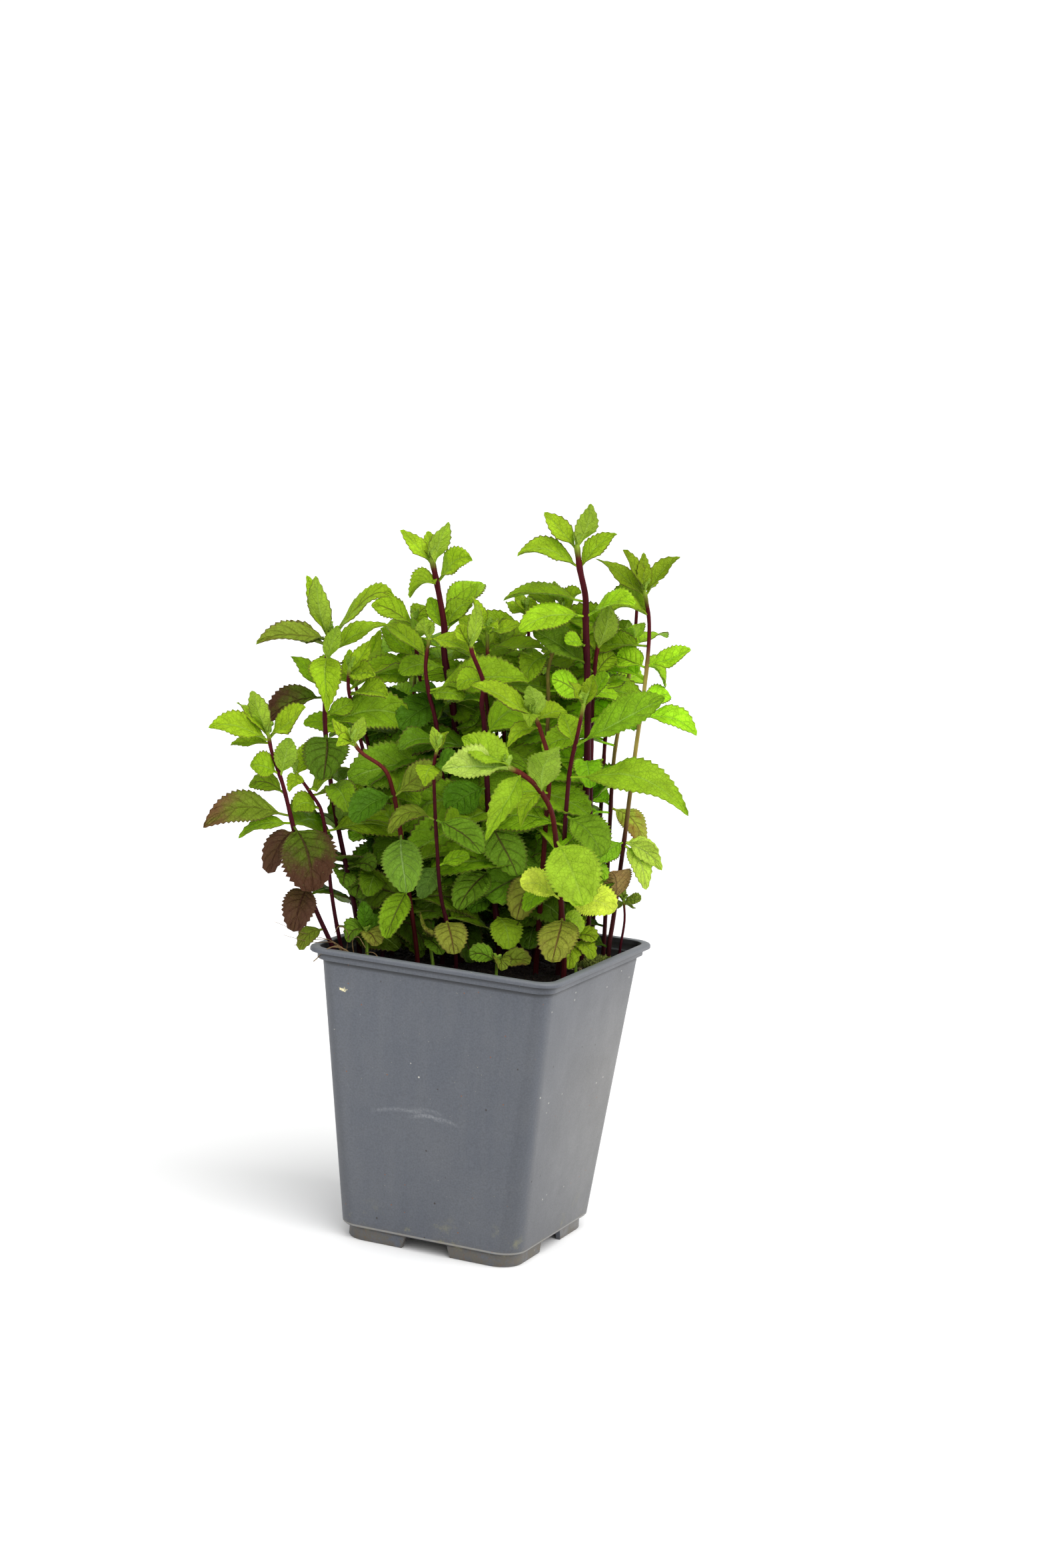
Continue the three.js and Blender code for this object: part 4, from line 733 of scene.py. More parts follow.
# The way the plant faces the camera, and where the light comes from
PLANT_TURN = math.radians(23.4)
RIGHT = np.array((math.cos(PLANT_TURN), math.sin(PLANT_TURN), 0))
UP = np.array((0.0, 0.0, 1.0))
BACK = np.cross(UP, RIGHT)
LIGHT = -0.8 * BACK + 0.6 * UP
STEM_FOOT = 100
BLADE_THICKNESS = 0.7
FLAT_WIDTH = 1.14
YOUNG_WIDTH = 1.08
# How far a leaf rolls over to the light: its share of the full turn, chance and limit in degrees,
# and the share of the leaf over which the turn grows
LIGHT_SHARE = 0.78
LIGHT_SPREAD = 12
ROLL_LIMIT = 62
ROLL_REACH = 0.4
ROOT_SHIFT = 0.2
YOUNG_REACH = 12
FURTHER_SPAN = 60
STALK_SHARE = 0.13
# The leaf with this letter is longer than its solid
LONGER = {"F": 1.35}
# Stems that are thinner or thicker than their solids
GIRTH = {"stem_front_bow": 0.82, "stem_left_tall": 1.28, "stem_right_tall": 1.28}
# Each leaf's key for its random numbers is its stem's number times KEY_STEP, and its own number
KEY_STEP = 50
EXTRA_KEY = 0.77
REST_KEY = 0.31
# Broad leaves low on the left, that the solids had no room for, as rows of STEMS
EXTRA = {"stem_left_arch": [[152, -8, -14, -12, 18, 6, "v"], [142, 8, -12, -6, 14, 5, "v"]],
         "stem_left_back": [[158, -4, -20, -2, 12, 5, "d"], [140, -14, -8, -8, 14, 5, "v"]]}


def chance(number):
    """A steady random number from 0 to 1 for each number."""
    wave = math.sin(number * 12.9898 + 4.1) * 43758.5453
    return wave - math.floor(wave)


def mix(low, high, share):
    return low + (high - low) * share


def place_of(row):
    return RIGHT * row[0] + BACK * row[1] + UP * row[2]


def stem_point(stem, place):
    """The point at a place from 0 to 1 along a smooth curve through the stem's points."""
    first = stem["path"][0]
    points = [place_of(row) for row in [[first[0], first[1], STEM_FOOT], *stem["path"]]]
    points = [2 * points[0] - points[1], *points, 2 * points[-1] - points[-2]]
    span = min(len(points) - 4, int(place * (len(points) - 3)))
    t = place * (len(points) - 3) - span
    a, b, c, d = points[span:span + 4]
    return b + 0.5 * t * (c - a + t * (2 * a - 5 * b + 4 * c - d + t * (3 * (b - c) + d - a)))


def stem_at_height(stem, height):
    low, high = 0.0, 1.0
    for _ in range(30):
        middle = (low + high) / 2
        low, high = (middle, high) if stem_point(stem, middle)[2] < height else (low, middle)
    return stem_point(stem, low)


def further_leaf(height, top, key, headings):
    """A leaf that turns its own way: the lower, the longer, broader and more drooping."""
    heading = math.radians(mix(*headings, chance(key)))
    age = min(1, (top - height) / FURTHER_SPAN)
    length = mix(14, 24, min(1, age * 2.5)) - 4 * age
    return [height, length * math.cos(heading), length * math.sin(heading), mix(9, -8, age),
            length * mix(0.42, 0.58, age), mix(3, 7, age)]


def turned(vector, axis, angle):
    axis = axis / np.linalg.norm(axis)
    return (vector * math.cos(angle) + np.cross(axis, vector) * math.sin(angle)
            + axis * axis.dot(vector) * (1 - math.cos(angle)))


def leaf_axes(tip, arch, t, roll):
    """The ways across a leaf and out of its face at a place from 0 to 1 along it."""
    along = tip + UP * 2 * arch * (1 - 2 * t)
    along = along / np.linalg.norm(along)
    side = np.cross(UP, tip * (1, 1, 0) / np.linalg.norm(tip[:2]))
    face = np.cross(along, side)
    turn = roll * min(1, t / ROLL_REACH)
    return turned(side, along, turn), turned(face, along, turn)


def light_roll(tip, arch):
    side, face = leaf_axes(tip, arch, 0.5, 0)
    across, toward = -LIGHT.dot(side), LIGHT.dot(face)
    full = math.degrees(math.atan(across / toward))
    pull = min(1, 1.5 * math.hypot(across, toward))
    return max(-ROLL_LIMIT, min(ROLL_LIMIT, LIGHT_SHARE * full * pull))


def leaf_of(stem, row, key):
    """A leaf in space from a row of STEMS, with what later decides its colour."""
    tip = place_of(row[1:4])
    top = stem["path"][-1][2]
    outward = tip * (1, 1, 0) / np.linalg.norm(tip[:2])
    roll = light_roll(tip, row[5]) + LIGHT_SPREAD * (2 * chance(key + 0.5) - 1)
    return {"root": stem_at_height(stem, row[0]) + outward * ROOT_SHIFT * stem["thick"][1],
            "tip": tip, "arch": row[5], "width": row[4] * FLAT_WIDTH, "roll": math.radians(roll),
            "young": top - row[0] < YOUNG_REACH, "drop": top - row[0], "height": row[0], "key": key,
            "letter": row[6] if len(row) > 6 else "", "inside": False}


def as_built(leaf, corners):
    """The leaf bent aside as its solid is, or None where the solid left it out."""
    for size in (1, 0.86, 0.72):
        for lift in (0, 3, -3, 6, -6):
            for turn in (0, 7, -7, 14, -14, 22, -22, 32, -32, 44, -44):
                tip = (turned(leaf["tip"], UP, math.radians(turn)) + UP * lift) * size
                _, face = leaf_axes(tip, leaf["arch"] * size, 1, leaf["roll"])
                ends = [leaf["root"] + tip + face * way * BLADE_THICKNESS / 2 for way in (1, -1)]
                if any(corners.find(end * MM)[2] < 0.00003 for end in ends):
                    return {**leaf, "tip": tip,
                            "arch": leaf["arch"] * size, "width": leaf["width"] * size}
    return None


def first_leaves(stem, number):
    """All leaves that a stem's solid has, as they were built, and its leaves of EXTRA."""
    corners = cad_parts[stem["name"]].data.vertices
    tree = kdtree.KDTree(len(corners))
    for i, vertex in enumerate(corners):
        tree.insert(vertex.co, i)
    tree.balance()
    top = stem["path"][-1][2]
    rows = list(stem["leaves"])
    for kind, headings in (("hidden", (35, 145)), ("inner", (190, 350))):
        for height in stem.get(kind, []):
            rows.append(further_leaf(height, top, number * KEY_STEP + len(rows), headings))
    built = [as_built(leaf_of(stem, row, number * KEY_STEP + n), tree) for n, row in enumerate(rows)]
    extra = [leaf_of(stem, row, number * KEY_STEP + EXTRA_KEY + n)
             for n, row in enumerate(EXTRA.get(stem["name"], []))]
    return [{**leaf, "tip": leaf["tip"] * LONGER.get(leaf["letter"], 1)}
            for leaf in built if leaf] + extra


# The solids hold the leaves that show most. The rest of the foliage grows here, in pairs up each
# stem, every leaf turned to where it has most room, and none further out than the leaves around.
PAIR_STEP = 14
FIRST_PAIR = 9
LOWEST_PAIRS = (136, 128, 121)
LEAST_ROOM = 3.2
REST_SPREAD = 38
REST_SPAN = 70
# How near a leaf's tip keeps to the leaves around, and the height below which twice that will do
COMPANY, COMPANY_FOOT = 15, 140
# How far these leaves reach to the left, right, front, side and top, and down to
REST_LEFT, REST_RIGHT, REST_FRONT, REST_SIDE, REST_TOP, REST_LOWEST = -74, 42, -14, 72, 268, 116
# Above these heights they reach less far to the front, and further to the right
REST_UPPER, REST_FRONT_UPPER = 190, 2
REST_CROWN, REST_CROWN_RIGHT = 216, 64
# A leaf that hangs lower than this stays clear of the pot's rim
RIM_CLEARED, RIM_ROOM = 130, 7


def leaf_line(leaf):
    """Points along a leaf's midrib."""
    return np.array([leaf["root"] + leaf["tip"] * t + UP * 2 * leaf["arch"] * t * (1 - t)
                     for t in (0.4, 0.6, 0.8, 1)])


def nearest(places, others):
    """How near the nearest of the others is to any of the places."""
    return np.linalg.norm(places[:, None] - others[None], axis=2).min()


def rest_of_leaves(stem, number, company, taken):
    """Further leaves of a stem, each in the roomiest of five ways out from its place in its pair."""
    top = stem["path"][-1][2]
    leaves = []
    upper_pairs = np.arange(top - FIRST_PAIR, LOWEST_PAIRS[0] + 4, -PAIR_STEP)
    for pair, height in enumerate([*upper_pairs, *LOWEST_PAIRS]):
        for way in (0, 180):
            key = number * KEY_STEP + REST_KEY + 2 * pair + way / 180
            age = min(1, (top - height) / REST_SPAN)
            length = mix(19, 41, min(1, age * 2.4)) * mix(0.8, 1.12, chance(key))
            length *= min(1, 0.35 + (height - SOIL_LEVEL) / REST_SPAN)
            best, most = None, LEAST_ROOM
            for swing in (0, 22, -22, 44, -44):
                heading = math.radians(pair * 90 + way + swing + 360 * chance(number + 0.7))
                rise = mix(7, -10, age) + 10 * (2 * chance(key + 0.4) - 1)
                row = [height, length * math.cos(heading), length * math.sin(heading), rise,
                       length * mix(0.35, 0.57, age), mix(3, 9, age)]
                leaf = leaf_of(stem, row, key)
                leaf["roll"] += math.radians(REST_SPREAD * (2 * chance(key + 0.9) - 1))
                leaf["inside"] = True
                line = leaf_line(leaf)
                sideways, low = line[-1].dot(RIGHT), line[:, 2].min()
                right = REST_RIGHT if low < REST_CROWN else REST_CROWN_RIGHT
                if not REST_LEFT < sideways < right or line[:, 2].max() > REST_TOP or low < REST_LOWEST:
                    continue
                front = REST_FRONT if low < REST_UPPER else REST_FRONT_UPPER
                side = REST_SIDE if low > RIM_CLEARED else SOIL_WIDTH / 2 - RIM_ROOM
                if line[:, :2].dot(BACK[:2]).min() < front or abs(line[:, :2]).max() > side:
                    continue
                if nearest(line[-1:], company) > (COMPANY if height > COMPANY_FOOT else 2 * COMPANY):
                    continue
                room = nearest(line, taken)
                if room > most:
                    best, most = leaf, room
            if best:
                leaves.append(best)
                taken = np.vstack([taken, leaf_line(best)])
    return leaves, taken


# Leaf shapes to repeat: a blade is given by its places alone, q from the foot of the stalk at -1
# over the blade's base at 0 to its tip at 1, and s across it from -1 to 1. Each row of a blade
# ends in a tooth's point or in the notch before it.

VEIN_PAIRS = {"large": 5.2, "middle": 5, "slim": 4.6, "small": 4}
# How far a tooth's point stands out, its notch cuts in, and the point leans ahead
TOOTH_OUT, TOOTH_IN, TOOTH_LEAN = 0.06, 0.075, 0.55
# Half the thickness of the stalk and of the blade, and how far the midrib stands out below
STALK_HALF, BLADE_HALF, MIDRIB = 0.0005, 0.00014, 0.00032
# Teeth on each side, and the places across the blade that have points
SHAPES = {"large": (16, (0, 0.12, 0.4, 0.72, 1)), "middle": (13, (0, 0.13, 0.45, 0.76, 1)),
          "slim": (10, (0, 0.18, 0.6, 1)), "small": (7, (0, 0.25, 1))}
LEAST_WIDTHS = {"large": 14, "middle": 11.5, "slim": 8.5, "small": 0}


def blade(name, teeth, columns):
    """A closed thin leaf of rows and columns, with what the tree needs to know at each point."""
    mesh = bmesh.new()
    across = [-s for s in columns[:0:-1]] + list(columns)
    rows = [(-1, 0), (-0.5, 0), (-0.12, 0)]
    rows += [(k / (2 * teeth), (-1) ** (k + 1)) for k in range(2 * teeth)]
    places, breadths, forms, reliefs, grid = [], [], [], [], {}
    for side in (1, -1):
        for r, (q, tooth) in enumerate([*rows, (1, 0)]):
            swell, round_swell = (math.sin(math.pi * max(q, 0) ** power) if q < 1 else 0
                                  for power in (0.85, 1.25))
            blade_share = min(1, max(0, q) / 0.06)
            for c, s in enumerate(across if q < 1 else [0]):
                edge = abs(s) == 1 and tooth and q > 0
                reach = s * (1 + (TOOTH_OUT if tooth > 0 else -TOOTH_IN) * edge)
                ahead = TOOTH_LEAN / (2 * teeth) * (tooth > 0) * edge * (1 - 0.5 * q)
                narrow, broad = reach * max(swell, 0) ** 0.92, reach * max(round_swell, 0) ** 0.5
                vein = (max(q, 0) - 0.2 * abs(s) - 0.12 * s * s) * VEIN_PAIRS[name]
                quilt = -math.cos(2 * math.pi * vein) * (1 - abs(s)) * min(1, 4 * abs(s)) * blade_share
                fold = abs(narrow) - 0.25 * narrow ** 2
                rib = MIDRIB * max(0, 1 - abs(s) / 0.2) * (1 - max(q, 0)) * (side < 0)
                stalk = STALK_HALF * math.sqrt(max(0.02, 1 - s * s))
                thick = mix(stalk, BLADE_HALF + rib, blade_share)
                places.append((min(q + ahead, 1), s, vein))
                breadths.append((narrow, broad, s * (1 - 0.8 * max(q, 0)) * (q < 1)))
                forms.append((fold, blade_share * abs(s) ** 1.5, side * thick))
                reliefs.append((quilt, 0, 0))
                grid[side, r, c] = mesh.verts.new((0, 0, 0))
    last = len(rows)
    for side in (1, -1):
        for r in range(last):
            for c in range(len(across) - 1):
                onward = [(r + 1, c + 1), (r + 1, c)] if r + 1 < last else [(last, 0)]
                loop = [grid[(side, *place)] for place in [(r, c), (r, c + 1), *onward]]
                mesh.faces.new(loop if side < 0 else loop[::-1])
    ring = [(0, c) for c in range(len(across))] + [(r, len(across) - 1) for r in range(1, last)]
    ring += [(last, 0)] + [(r, 0) for r in range(last - 1, 0, -1)]
    for (r, c), (r2, c2) in zip(ring, ring[1:] + ring[:1]):
        mesh.faces.new([grid[1, r, c], grid[1, r2, c2], grid[-1, r2, c2], grid[-1, r, c]])
    shape = loose_shape("leaf_" + name, mesh)
    layers = {"blade": places, "breadth": breadths, "form": forms, "relief": reliefs}
    for label, values in layers.items():
        layer = shape.data.attributes.new(label, "FLOAT_VECTOR", "POINT")
        layer.data.foreach_set("vector", np.array(values, np.float32).ravel())
    return shape


# Growing a stem: its path becomes a square tube, and each leaf's point gets a leaf shape, which is
# then bent over the leaf's arch, folded along its midrib and twisted to the light.
STEM_SIZES = {"Stalk half width": 0.00055, "Roll reach": ROLL_REACH, "Margin wave": 0.004,
              "Corner": 0.24, "Quilting": 0.07}
growth, given = new_tree("leafy_stem", {
    **{name: ("NodeSocketObject", None) for name in SHAPES},
    **{label: ("NodeSocketFloat", size) for label, size in STEM_SIZES.items()},
    "Stem material": ("NodeSocketMaterial", None), "Leaf material": ("NodeSocketMaterial", None)})
value = {label: add(growth, "GeometryNodeInputNamedAttribute", {"data_type": "FLOAT"}, {"Name": label})
         for label in ("kind", "radius", "roll", "broad", "seed")}
arrow = {label: add(growth, "GeometryNodeInputNamedAttribute", {"data_type": "FLOAT_VECTOR"},
                    {"Name": label})
         for label in ("tip", "side", "shape", "habit", "blade", "breadth", "form", "relief")}
arch, half, stalk, narrow, broad, thin, fold, margin, thick, folding, sway, tip_twist, q, s, _ = (
    add(growth, "ShaderNodeSeparateXYZ", {}, {0: arrow[label]}, axis)
    for label in ("shape", "breadth", "form", "habit", "blade") for axis in range(3))
quilt = add(growth, "ShaderNodeSeparateXYZ", {}, {0: arrow["relief"]})
# The place along the leaf, from 0 at the stem to 1 at the tip
on_stalk = add(growth, "ShaderNodeMapRange", {},
               {"Value": q, "From Min": -1.0, "From Max": 0.0, "To Max": stalk})
rest = add(growth, "ShaderNodeMath", {"operation": "SUBTRACT"}, {0: 1.0, 1: stalk})
on_blade = add(growth, "ShaderNodeMapRange", {}, {"Value": q, "From Max": 1.0, "To Max": rest})
t = add(growth, "ShaderNodeMath", {"operation": "ADD"}, {0: on_stalk, 1: on_blade})
# The midrib's arch and its slope there
left = add(growth, "ShaderNodeMath", {"operation": "SUBTRACT"}, {0: 1.0, 1: t})
late = add(growth, "ShaderNodeMath", {"operation": "MULTIPLY_ADD"}, {0: t, 1: 0.9, 2: 0.55})
bow = t
for factor in (left, arch, late, 2.0):
    bow = add(growth, "ShaderNodeMath", {"operation": "MULTIPLY"}, {0: bow, 1: factor})
slope = add(growth, "ShaderNodeMath", {"operation": "MULTIPLY_ADD"}, {0: t, 1: -4.0, 2: 2.0})
slope = add(growth, "ShaderNodeMath", {"operation": "MULTIPLY"}, {0: slope, 1: arch})
slope = add(growth, "ShaderNodeCombineXYZ", {}, {2: slope})
along = add(growth, "ShaderNodeVectorMath", {"operation": "ADD"}, {0: arrow["tip"], 1: slope})
along = add(growth, "ShaderNodeVectorMath", {"operation": "NORMALIZE"}, {0: along})
face = add(growth, "ShaderNodeVectorMath", {"operation": "CROSS_PRODUCT"}, {0: along, 1: arrow["side"]})
# The twist to the light, full from the roll reach on, and the tip's own
turn = t
for operation, other in (("DIVIDE", given["Roll reach"]), ("MINIMUM", 1.0),
                         ("MULTIPLY", value["roll"])):
    turn = add(growth, "ShaderNodeMath", {"operation": operation}, {0: turn, 1: other})
outer = add(growth, "ShaderNodeMapRange", {"interpolation_type": "SMOOTHSTEP"},
            {"Value": t, "From Min": 0.4, "From Max": 1.0})
turn = add(growth, "ShaderNodeMath", {"operation": "MULTIPLY_ADD"}, {0: outer, 1: tip_twist, 2: turn})
side, face = (add(growth, "ShaderNodeVectorRotate", {"rotation_type": "AXIS_ANGLE"},
                  {"Vector": way, "Axis": along, "Angle": turn}) for way in (arrow["side"], face))
# How far across, and how far out of the face
wide = add(growth, "ShaderNodeMix", {"data_type": "FLOAT"}, {0: value["broad"], 2: narrow, 3: broad})
wide = add(growth, "ShaderNodeMath", {"operation": "MULTIPLY"}, {0: wide, 1: half})
stem_side = add(growth, "ShaderNodeMath", {"operation": "MULTIPLY"},
                {0: thin, 1: given["Stalk half width"]})
wide = add(growth, "ShaderNodeMath", {"operation": "ADD"}, {0: wide, 1: stem_side})
bent = add(growth, "ShaderNodeMath", {"operation": "MULTIPLY"}, {0: t, 1: math.pi})
bent = add(growth, "ShaderNodeMath", {"operation": "SINE"}, {0: bent})
bent = add(growth, "ShaderNodeMath", {"operation": "MULTIPLY"}, {0: bent, 1: sway})
aside = add(growth, "ShaderNodeMath", {"operation": "MULTIPLY_ADD"}, {0: bent, 1: half, 2: wide})
where = add(growth, "ShaderNodeCombineXYZ", {}, {0: q, 1: s, 2: value["seed"]})
ripple = add(growth, "ShaderNodeTexNoise", {}, {"Vector": where, "Scale": 2.3, "Detail": 1.0})
for operation, other in (("SUBTRACT", 0.5), ("MULTIPLY", margin), ("MULTIPLY", given["Margin wave"])):
    ripple = add(growth, "ShaderNodeMath", {"operation": operation}, {0: ripple, 1: other})
fold = add(growth, "ShaderNodeMath", {"operation": "MULTIPLY"}, {0: fold, 1: folding})
fold = add(growth, "ShaderNodeMath", {"operation": "MULTIPLY_ADD"},
           {0: quilt, 1: given["Quilting"], 2: fold})
lift = add(growth, "ShaderNodeMath", {"operation": "MULTIPLY_ADD"}, {0: fold, 1: half, 2: thick})
lift = add(growth, "ShaderNodeMath", {"operation": "ADD"}, {0: lift, 1: ripple})
# Root to midrib, then across and out
offset = add(growth, "ShaderNodeVectorMath", {"operation": "SCALE"}, {0: arrow["tip"], "Scale": t})
rise = add(growth, "ShaderNodeCombineXYZ", {}, {2: bow})
offset = add(growth, "ShaderNodeVectorMath", {"operation": "ADD"}, {0: offset, 1: rise})
for way, far in ((side, aside), (face, lift)):
    step = add(growth, "ShaderNodeVectorMath", {"operation": "SCALE"}, {0: way, "Scale": far})
    offset = add(growth, "ShaderNodeVectorMath", {"operation": "ADD"}, {0: offset, 1: step})
# Flat places on the leaf in metres, for the pattern of its veins
length = add(growth, "ShaderNodeVectorMath", {"operation": "LENGTH"}, {0: arrow["tip"]}, 1)
run = add(growth, "ShaderNodeMath", {"operation": "MULTIPLY"}, {0: length, 1: t})
flat = add(growth, "ShaderNodeCombineXYZ", {}, {0: run, 1: wide, 2: value["seed"]})

joined = []
for number, name in enumerate(SHAPES):
    mine = add(growth, "FunctionNodeCompare", {"data_type": "FLOAT", "operation": "EQUAL"},
               {0: value["kind"], 1: float(number), "Epsilon": 0.1})
    points = add(growth, "GeometryNodeSeparateGeometry", {"domain": "POINT"},
                 {0: given["Geometry"], 1: mine})
    shape = add(growth, "GeometryNodeObjectInfo", {}, {"Object": given[name]}, None).outputs["Geometry"]
    leaves = add(growth, "GeometryNodeInstanceOnPoints", {}, {"Points": points, "Instance": shape})
    joined.append(leaves)
leaves = add(growth, "GeometryNodeJoinGeometry", {}, {0: joined})
leaves = add(growth, "GeometryNodeRealizeInstances", {}, {"Geometry": leaves})
leaves = add(growth, "GeometryNodeStoreNamedAttribute", {"data_type": "FLOAT_VECTOR", "domain": "POINT"},
             {"Geometry": leaves, "Name": "flat", "Value": flat})
leaves = add(growth, "GeometryNodeSetPosition", {}, {"Geometry": leaves, "Offset": offset})
angle = add(growth, "GeometryNodeInputMeshEdgeAngle")
sharp = add(growth, "FunctionNodeCompare", {"data_type": "FLOAT", "operation": "LESS_THAN"},
            {0: angle, 1: 0.9})
leaves = add(growth, "GeometryNodeSetShadeSmooth", {"domain": "EDGE"},
             {"Geometry": leaves, "Shade Smooth": sharp})
leaves = add(growth, "GeometryNodeSetMaterial", {},
             {"Geometry": leaves, "Material": given["Leaf material"]})
mine = add(growth, "FunctionNodeCompare", {"data_type": "FLOAT", "operation": "LESS_THAN"},
           {0: value["kind"], 1: -0.5})
path = add(growth, "GeometryNodeSeparateGeometry", {"domain": "POINT"}, {0: given["Geometry"], 1: mine})
path = add(growth, "GeometryNodeMeshToCurve", {}, {"Mesh": path})
square = add(growth, "GeometryNodeCurvePrimitiveQuadrilateral", {}, {"Width": 0.76, "Height": 0.76})
square = add(growth, "GeometryNodeFilletCurve", {"mode": "POLY"},
             {"Curve": square, "Count": 3, "Radius": given["Corner"]})
tube = add(growth, "GeometryNodeCurveToMesh", {},
           {"Curve": path, "Profile Curve": square, "Scale": value["radius"], "Fill Caps": True})
tube = add(growth, "GeometryNodeSetMaterial", {},
           {"Geometry": tube, "Material": given["Stem material"]})
whole = add(growth, "GeometryNodeJoinGeometry", {}, {0: [leaves, tube]})
add(growth, "NodeGroupOutput", {}, {"Geometry": whole}, None)

# A mint leaf: soft, slightly quilted and finely hairy, so it is matt with a faint sheen, IOR 1.42,
# and it lets light through, yellower than it sends it back. Its veins are sunk on top and stand
# out pale below; strong light and cold turn old blades and all edges purple-brown.
leaf_tissue, tree = new_material("mint_leaf_tissue")
tint, vein_tint, spot_tint = (add(tree, "ShaderNodeAttribute", {"attribute_name": label}, out="Color")
                              for label in ("tint", "vein_tint", "spot_tint"))
marks = add(tree, "ShaderNodeAttribute", {"attribute_name": "marks"}, out="Vector")
blade_place = add(tree, "ShaderNodeAttribute", {"attribute_name": "blade"}, out="Vector")
spotted, rimmed, at_tip, q, s, vein = (add(tree, "ShaderNodeSeparateXYZ", {}, {0: layer}, axis)
                                       for layer in (marks, blade_place) for axis in range(3))
vein_strength = add(tree, "ShaderNodeAttribute", {"attribute_name": "vein_strength"}, out="Fac")
form = add(tree, "ShaderNodeAttribute", {"attribute_name": "form"}, out="Vector")
thick = add(tree, "ShaderNodeSeparateXYZ", {}, {0: form}, 2)
flat = add(tree, "ShaderNodeAttribute", {"attribute_name": "flat"}, out="Vector")
aside = add(tree, "ShaderNodeMath", {"operation": "ABSOLUTE"}, {0: s})
# Side veins: lines where the vein count is whole, 0.3 to 0.5 mm wide, thinner to the edge
off_vein = add(tree, "ShaderNodeMath", {"operation": "PINGPONG"}, {0: vein, 1: 0.5})
side_vein = add(tree, "ShaderNodeMapRange", {"interpolation_type": "SMOOTHSTEP"},
                {"Value": off_vein, "From Min": 0.01, "From Max": 0.13, "To Min": 1, "To Max": 0})
fade = add(tree, "ShaderNodeMapRange", {},
           {"Value": aside, "From Min": 0.45, "From Max": 0.98, "To Min": 1, "To Max": 0.12})
side_vein = add(tree, "ShaderNodeMath", {"operation": "MULTIPLY"}, {0: side_vein, 1: fade})
on_blade = add(tree, "ShaderNodeMapRange", {}, {"Value": q, "From Min": 0.0, "From Max": 0.05})
side_vein = add(tree, "ShaderNodeMath", {"operation": "MULTIPLY"}, {0: side_vein, 1: on_blade})
rib_width = add(tree, "ShaderNodeMapRange", {},
                {"Value": q, "From Min": 0, "From Max": 1, "To Min": 0.1, "To Max": 0.06})
midrib = add(tree, "ShaderNodeMapRange", {"interpolation_type": "SMOOTHSTEP"},
             {"Value": aside, "From Min": 0.01, "From Max": rib_width, "To Min": 1, "To Max": 0})
# The net between them, in 1.5 mm meshes
net = add(tree, "ShaderNodeTexVoronoi", {"feature": "DISTANCE_TO_EDGE"}, {"Vector": flat, "Scale": 620})
net = add(tree, "ShaderNodeMapRange", {},
          {"Value": net, "From Min": 0.0, "From Max": 0.12, "To Min": 1, "To Max": 0})
veins = add(tree, "ShaderNodeMath", {"operation": "MAXIMUM"}, {0: side_vein, 1: midrib})
# Colour: lighter and darker clouds 6 mm across, then painted shade in the sunk net and side veins, then
# the veins' own colour
clouds = add(tree, "ShaderNodeTexNoise", {}, {"Vector": flat, "Scale": 170, "Detail": 3})
shade = add(tree, "ShaderNodeMapRange", {},
            {"Value": clouds, "From Min": 0.3, "From Max": 0.7, "To Min": 0.84, "To Max": 1.14})
color = add(tree, "ShaderNodeVectorMath", {"operation": "SCALE"}, {0: tint, "Scale": shade})
# Painted shade: the sunk net is painted darker
paler = add(tree, "ShaderNodeVectorMath", {"operation": "SCALE"}, {0: color, "Scale": 0.8})
netted = add(tree, "ShaderNodeMath", {"operation": "MULTIPLY"}, {0: net, 1: 0.4})
color = add(tree, "ShaderNodeMix", {"data_type": "RGBA"}, {0: netted, 6: color, 7: paler}, 2)
# Painted shade: the sunk side veins are painted darker
sunk = add(tree, "ShaderNodeVectorMath", {"operation": "SCALE"}, {0: color, "Scale": 0.68})
strong = add(tree, "ShaderNodeMath", {"operation": "MULTIPLY"}, {0: side_vein, 1: 0.6})
strong = add(tree, "ShaderNodeMath", {"operation": "MULTIPLY"}, {0: strong, 1: vein_strength})
color = add(tree, "ShaderNodeMix", {"data_type": "RGBA"}, {0: strong, 6: color, 7: sunk}, 2)
strong = add(tree, "ShaderNodeMath", {"operation": "MULTIPLY"}, {0: side_vein, 1: 0.25})
strong = add(tree, "ShaderNodeMath", {"operation": "MAXIMUM"}, {0: strong, 1: midrib})
strong = add(tree, "ShaderNodeMath", {"operation": "MULTIPLY"}, {0: strong, 1: vein_strength})
color = add(tree, "ShaderNodeMix", {"data_type": "RGBA"}, {0: strong, 6: color, 7: vein_tint}, 2)
# Blotches of old or reddened tissue, growing from the tip and the edge
blotch = add(tree, "ShaderNodeTexNoise", {},
             {"Vector": flat, "Scale": 130, "Detail": 5, "Roughness": 0.6})
blotch = add(tree, "ShaderNodeMath", {"operation": "MULTIPLY_ADD"}, {0: q, 1: at_tip, 2: blotch})
blotch = add(tree, "ShaderNodeMath", {"operation": "MULTIPLY_ADD"}, {0: aside, 1: 0.12, 2: blotch})
blotch = add(tree, "ShaderNodeMath", {"operation": "ADD"}, {0: blotch, 1: spotted})
blotch = add(tree, "ShaderNodeMapRange", {"interpolation_type": "SMOOTHSTEP"},
             {"Value": blotch, "From Min": 0.86, "From Max": 1.32})
color = add(tree, "ShaderNodeMix", {"data_type": "RGBA"}, {0: blotch, 6: color, 7: spot_tint}, 2)
